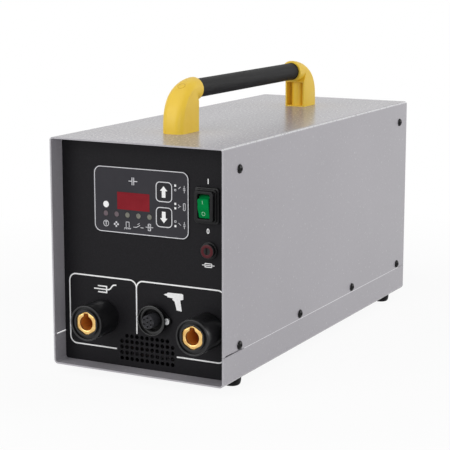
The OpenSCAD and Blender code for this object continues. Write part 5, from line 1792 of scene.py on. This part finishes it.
@dataclass
class Rear:
    """Fan with its wire guard, and the mains inlet."""

    fan_z: float = 130.0
    wire_y: float = 436.5
    rings: tuple[float, ...] = (12.0, 21.0, 30.0)
    wire_r: float = 0.95
    leg: float = 0.9
    loop_r: float = 2.9
    eye: float = 35.75
    fan_head_r: float = 3.5
    inlet_screws: tuple[float, float] = (25.0, 65.0)
    inlet_y: float = 435.6
    inlet_z: float = 45.0
    inlet_head_r: float = 2.7
    hub_r: float = 15.0
    blades: int = 7
    pitch: tuple[float, float] = (48.0, 28.0)
    chord: tuple[float, float] = (8.2, 9.8)
    rotor_y: tuple[float, float] = (414.0, 431.0)

    def build(self, maker: Maker) -> None:
        """Make the wire guard and the rotor, and dress the rest.

        Args:
            maker: Makes the pieces.
        """
        maker.piece("fan_wire_guard", self.guard(), ZINC, replaces=["fan_guard"],
                    crease=60.0)
        maker.piece("fan_impeller", self.impeller(), SOFT_BLACK, body="fan_wheel",
                    replaces=["fan_rotor"], crease=35.0)
        inlet = Shape().copy_node("mains_inlet").soften(0.5, where=lambda p: p.y > self.inlet_y)
        maker.piece("inlet_body", inlet, BLACK_PLASTIC, replaces=["mains_inlet"])
        maker.piece("rear_screw_faces", self.faces(), ZINC, crease=40.0)
        maker.dress(BLACK_PLASTIC, "fan_frame")
        maker.dress(ZINC, "fan_screws", "inlet_screws", "inlet_pins")

    @staticmethod
    def cross(angle: float, big: float) -> float:
        """Give the radius of a cross recess at an angle, in a head of a radius.

        Args:
            angle: The angle in radians.
            big: Radius of the head.

        Returns:
            The radius there.
        """
        arm, half = big * 0.66, big * 0.14
        u, v = max(1e-6, abs(math.cos(angle))), max(1e-6, abs(math.sin(angle)))
        return max(min(arm / u, half / v), min(arm / v, half / u))

    def faces(self) -> Shape:
        """Domed faces with a cross recess, on the heads of the rear screws.

        Returns:
            All the faces as one shape.
        """
        shape = Shape()
        angles = even_angles(48)
        fan_y, inlet_y = (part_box(node)[1].y / MM + MID_Y
                          for node in ("fan_screws", "inlet_screws"))
        spots = [(sx * self.eye, self.fan_z + sz * self.eye, fan_y, self.fan_head_r)
                 for sx in (-1, 1) for sz in (-1, 1)]
        spots += [(x, self.inlet_z, inlet_y, self.inlet_head_r) for x in self.inlet_screws]
        for x, z, y, big in spots:
            rings = [polar_ring((x, z), y + up, lambda a, r=big * share: r, angles)
                     for share, up in ((1.0, 0.0), (1.0, 0.25), (0.92, 0.55), (0.75, 0.8))]
            rings += [polar_ring((x, z), y + up, lambda a, r=big: self.cross(a, r), angles)
                      for up in (0.9, 0.02)]
            shape.loft(rings, first=False, last=False).join_rims()
        return shape

    def guard(self) -> Shape:
        """Round wires in rings, with four bent legs to the screws.

        Returns:
            The shape.
        """
        shape = Shape()
        wire = [(self.wire_r * math.cos(a), self.wire_r * math.sin(a)) for a in even_angles(12)]
        slim = [(a * self.leg, b * self.leg) for a, b in wire]
        for ring in self.rings:
            shape.lathe([(ring + a, b) for a, b in wire], (0, self.wire_y, self.fan_z), REAR, 60,
                        True)
        hub = Vector((0, self.wire_y - 0.1, self.fan_z))
        reach = self.eye * math.sqrt(2) - self.loop_r
        for sx in (-1, 1):
            for sz in (-1, 1):
                corner = Vector((sx, 0, sz))
                way = corner.normalized()
                side = way.cross(REAR)
                shape.loft([[hub + way * t + side * a + REAR * b for a, b in slim]
                            for t in (self.rings[0] - 0.3, reach)])
                shape.lathe([(self.loop_r + a, b) for a, b in slim], hub + corner * self.eye,
                            REAR, 28, True)
        return shape

    def impeller(self) -> Shape:
        """Hub with twisted blades.

        Returns:
            The shape.
        """
        low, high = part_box("fan_rotor")
        tip = (high.x - low.x) / 2 / MM - 0.2
        near, far = self.rotor_y
        shape = Shape()
        hub = self.hub_r
        shape.lathe([(0.0, far), (hub - 1.2, far), (hub, far - 1.2), (hub, near), (hub - 2, near),
                     (hub - 2, far - 3), (0.0, far - 3)], (0, 0, self.fan_z), REAR, 56)
        root = hub - 0.4
        for turn in even_angles(self.blades):
            shape.loft([self.blade_section(turn, root + (tip - root) * j / 6, j / 6)
                        for j in range(7)])
        return shape

    def blade_section(self, turn: float, radius: float, share: float) -> list:
        """One section of a blade.

        Args:
            turn: Angle of the blade round the hub, in radians.
            radius: Distance from the hub's axis.
            share: Nought at the root, one at the tip.

        Returns:
            Points of the section.
        """
        pitch = math.radians(self.pitch[0] + (self.pitch[1] - self.pitch[0]) * share)
        chord = self.chord[0] + (self.chord[1] - self.chord[0]) * share
        middle = sum(self.rotor_y) / 2
        ring = []
        for u, v in ((-1, 0.4), (-0.5, 0.9), (0, 1.1), (0.5, 0.9), (1, 0.4), (1, -0.4),
                     (0.5, 0.1), (0, 0.3), (-0.5, 0.1), (-1, -0.4)):
            swing = u * chord * math.cos(pitch) - v * math.sin(pitch)
            lift = u * chord * math.sin(pitch) + v * math.cos(pitch)
            a = turn + swing / radius
            ring.append((radius * math.sin(a), middle + lift, self.fan_z + radius * math.cos(a)))
        return ring


class Inside:
    """Everything behind the panels: boards, capacitors, bars, transformer."""

    def build(self, maker: Maker) -> None:
        """Dress the inner nodes.

        Args:
            maker: Makes the pieces.
        """
        maker.dress(BOARD, "control_board", "power_board")
        maker.dress(BLACK_PLASTIC, "display_module", "thyristor_module")
        maker.dress(ZINC, "board_pillars", "board_screws", "terminal_screws",
                    "capacitor_bracket", "power_board_pillars")
        maker.dress(SLEEVE, "capacitor_cans")
        maker.dress(BRASS, "capacitor_terminals")
        maker.dress(COPPER, "busbar_positive", "busbar_negative", "earth_strap", "gun_strap",
                    "thyristor_link")
        maker.dress(SINK, "heat_sink")
        maker.dress(CORE, "transformer_core")
        maker.dress(WINDING, "transformer_winding")


@dataclass
class Studio:
    """Pale floor, soft lamps and the camera."""

    eye: Point = (0.6788, -1.3427, 0.3980)
    heading: float = 27.533
    dip: float = 10.718
    lens: float = 118.9
    world_light: float = 0.33
    floor_r: float = 40.0
    floor_tone: float = 0.93
    clear_band: tuple[float, float] = (0.32, 0.75)
    near_white: float = 0.92

    def build(self) -> None:
        """Set up the stage."""
        scene = bpy.context.scene
        scene.view_settings.view_transform = "Standard"
        self.camera(scene)
        self.world(scene)
        self.floor(scene)
        self.lamp("overhead_softbox", (-0.35, -0.9, 1.5), (0, 0, 0.1), 1.8, 7.6)
        self.lamp("front_fill", (-1.3, -2.1, 1.0), (0, -0.1, 0.15), 1.5, 15.5)
        self.lamp("side_fill", (1.8, 1.0, 0.9), (0, 0, 0.15), 1.2, 15.5)
        self.lamp("low_fill", (1.5, -2.0, 0.6), (0, -0.2, 0.12), 1.0, 7.0)

    def camera(self, scene: bpy.types.Scene) -> None:
        """Put the camera at the photograph's angle.

        Args:
            scene: The scene that it serves.
        """
        data = bpy.data.cameras.new("camera")
        data.lens = self.lens
        data.sensor_fit = "HORIZONTAL"
        data.sensor_width = 36.0
        data.clip_start = 0.05
        data.clip_end = 100.0
        made = bpy.data.objects.new("camera", data)
        turn = Matrix.Rotation(math.radians(self.heading), 4, "Z")
        tilt = Matrix.Rotation(math.radians(90.0 - self.dip), 4, "X")
        made.matrix_world = Matrix.Translation(self.eye) @ turn @ tilt
        scene.collection.objects.link(made)
        scene.camera = made

    @staticmethod
    def seen(g: Graph) -> Sock:
        """Give one for rays that show the background as it looks.

        Args:
            g: The graph of the world or of the floor.

        Returns:
            One for those rays, else nought.
        """
        path = [g.node("ShaderNodeLightPath", out=name)
                for name in ("Is Camera Ray", "Is Glossy Ray", "Is Transmission Ray")]
        return path[0] | path[1] | path[2]

    def world(self, scene: bpy.types.Scene) -> None:
        """White to look at, a plain level as light.

        Args:
            scene: The scene that the world is for.
        """
        scene.world = bpy.data.worlds.new("world")
        scene.world.use_nodes = True
        g = Graph(scene.world.node_tree)
        strength = self.seen(g) * (1.0 - self.world_light) + self.world_light
        back = g.node("ShaderNodeBackground", {"Color": (1, 1, 1, 1), "Strength": strength})
        g.node("ShaderNodeOutputWorld", {"Surface": back})

    def floor(self, scene: bpy.types.Scene) -> None:
        """A pale floor that keeps the shadow near the object and is white further off.

        Args:
            scene: The scene that it goes into.
        """
        bm = bmesh.new()
        bmesh.ops.create_circle(bm, cap_ends=True, segments=96, radius=self.floor_r)
        mesh = bpy.data.meshes.new("floor")
        bm.to_mesh(mesh)
        bm.free()
        material = bpy.data.materials.new("floor")
        material.use_nodes = True
        g = Graph(material.node_tree)
        tone = self.floor_tone
        pale = g.node("ShaderNodeBsdfDiffuse", {"Color": (tone, tone, tone, 1)})
        white = g.node("ShaderNodeEmission", {"Color": (1, 1, 1, 1), "Strength": 1.0})
        away = g.node("ShaderNodeVectorMath", {0: g.place()}, {"operation": "LENGTH"}, out=1)
        clear = g.span(away, *self.clear_band) * (1.0 - self.near_white) + self.near_white
        share = self.seen(g) * clear
        both = g.node("ShaderNodeMixShader", {0: share, 1: pale, 2: white})
        g.node("ShaderNodeOutputMaterial", {"Surface": both})
        mesh.materials.append(material)
        made = bpy.data.objects.new("floor", mesh)
        scene.collection.objects.link(made)

    def lamp(self, name: str, place: Point, target: Point, size: float, power: float) -> None:
        """Hang a soft square lamp.

        Args:
            name: The lamp's name.
            place: Where it is, in metres.
            target: What it points at.
            size: Length of its side.
            power: Its power in watts.
        """
        data = bpy.data.lights.new(name, "AREA")
        data.shape = "SQUARE"
        data.size = size
        data.energy = power
        made = bpy.data.objects.new(name, data)
        aim = (Vector(target) - Vector(place)).to_track_quat("-Z", "Y")
        made.matrix_world = Matrix.Translation(place) @ aim.to_matrix().to_4x4()
        bpy.context.scene.collection.objects.link(made)


def main() -> None:
    """Build the looks in order."""
    logging.basicConfig(level=logging.INFO, format="%(name)s: %(message)s")
    maker = Maker()
    for part in (CaseSkin(), Handle(), MembraneControls(), RockerSwitch(), FuseHolder(),
                 WeldSocket("earth", -46.0), WeldSocket("gun", 65.0), ControlSocket(),
                 PanelPrint(), Rear(), Inside()):
        part.build(maker)
        LOG.info("built %s", type(part).__name__)
    Studio().build()


if __name__ == "__main__":
    main()
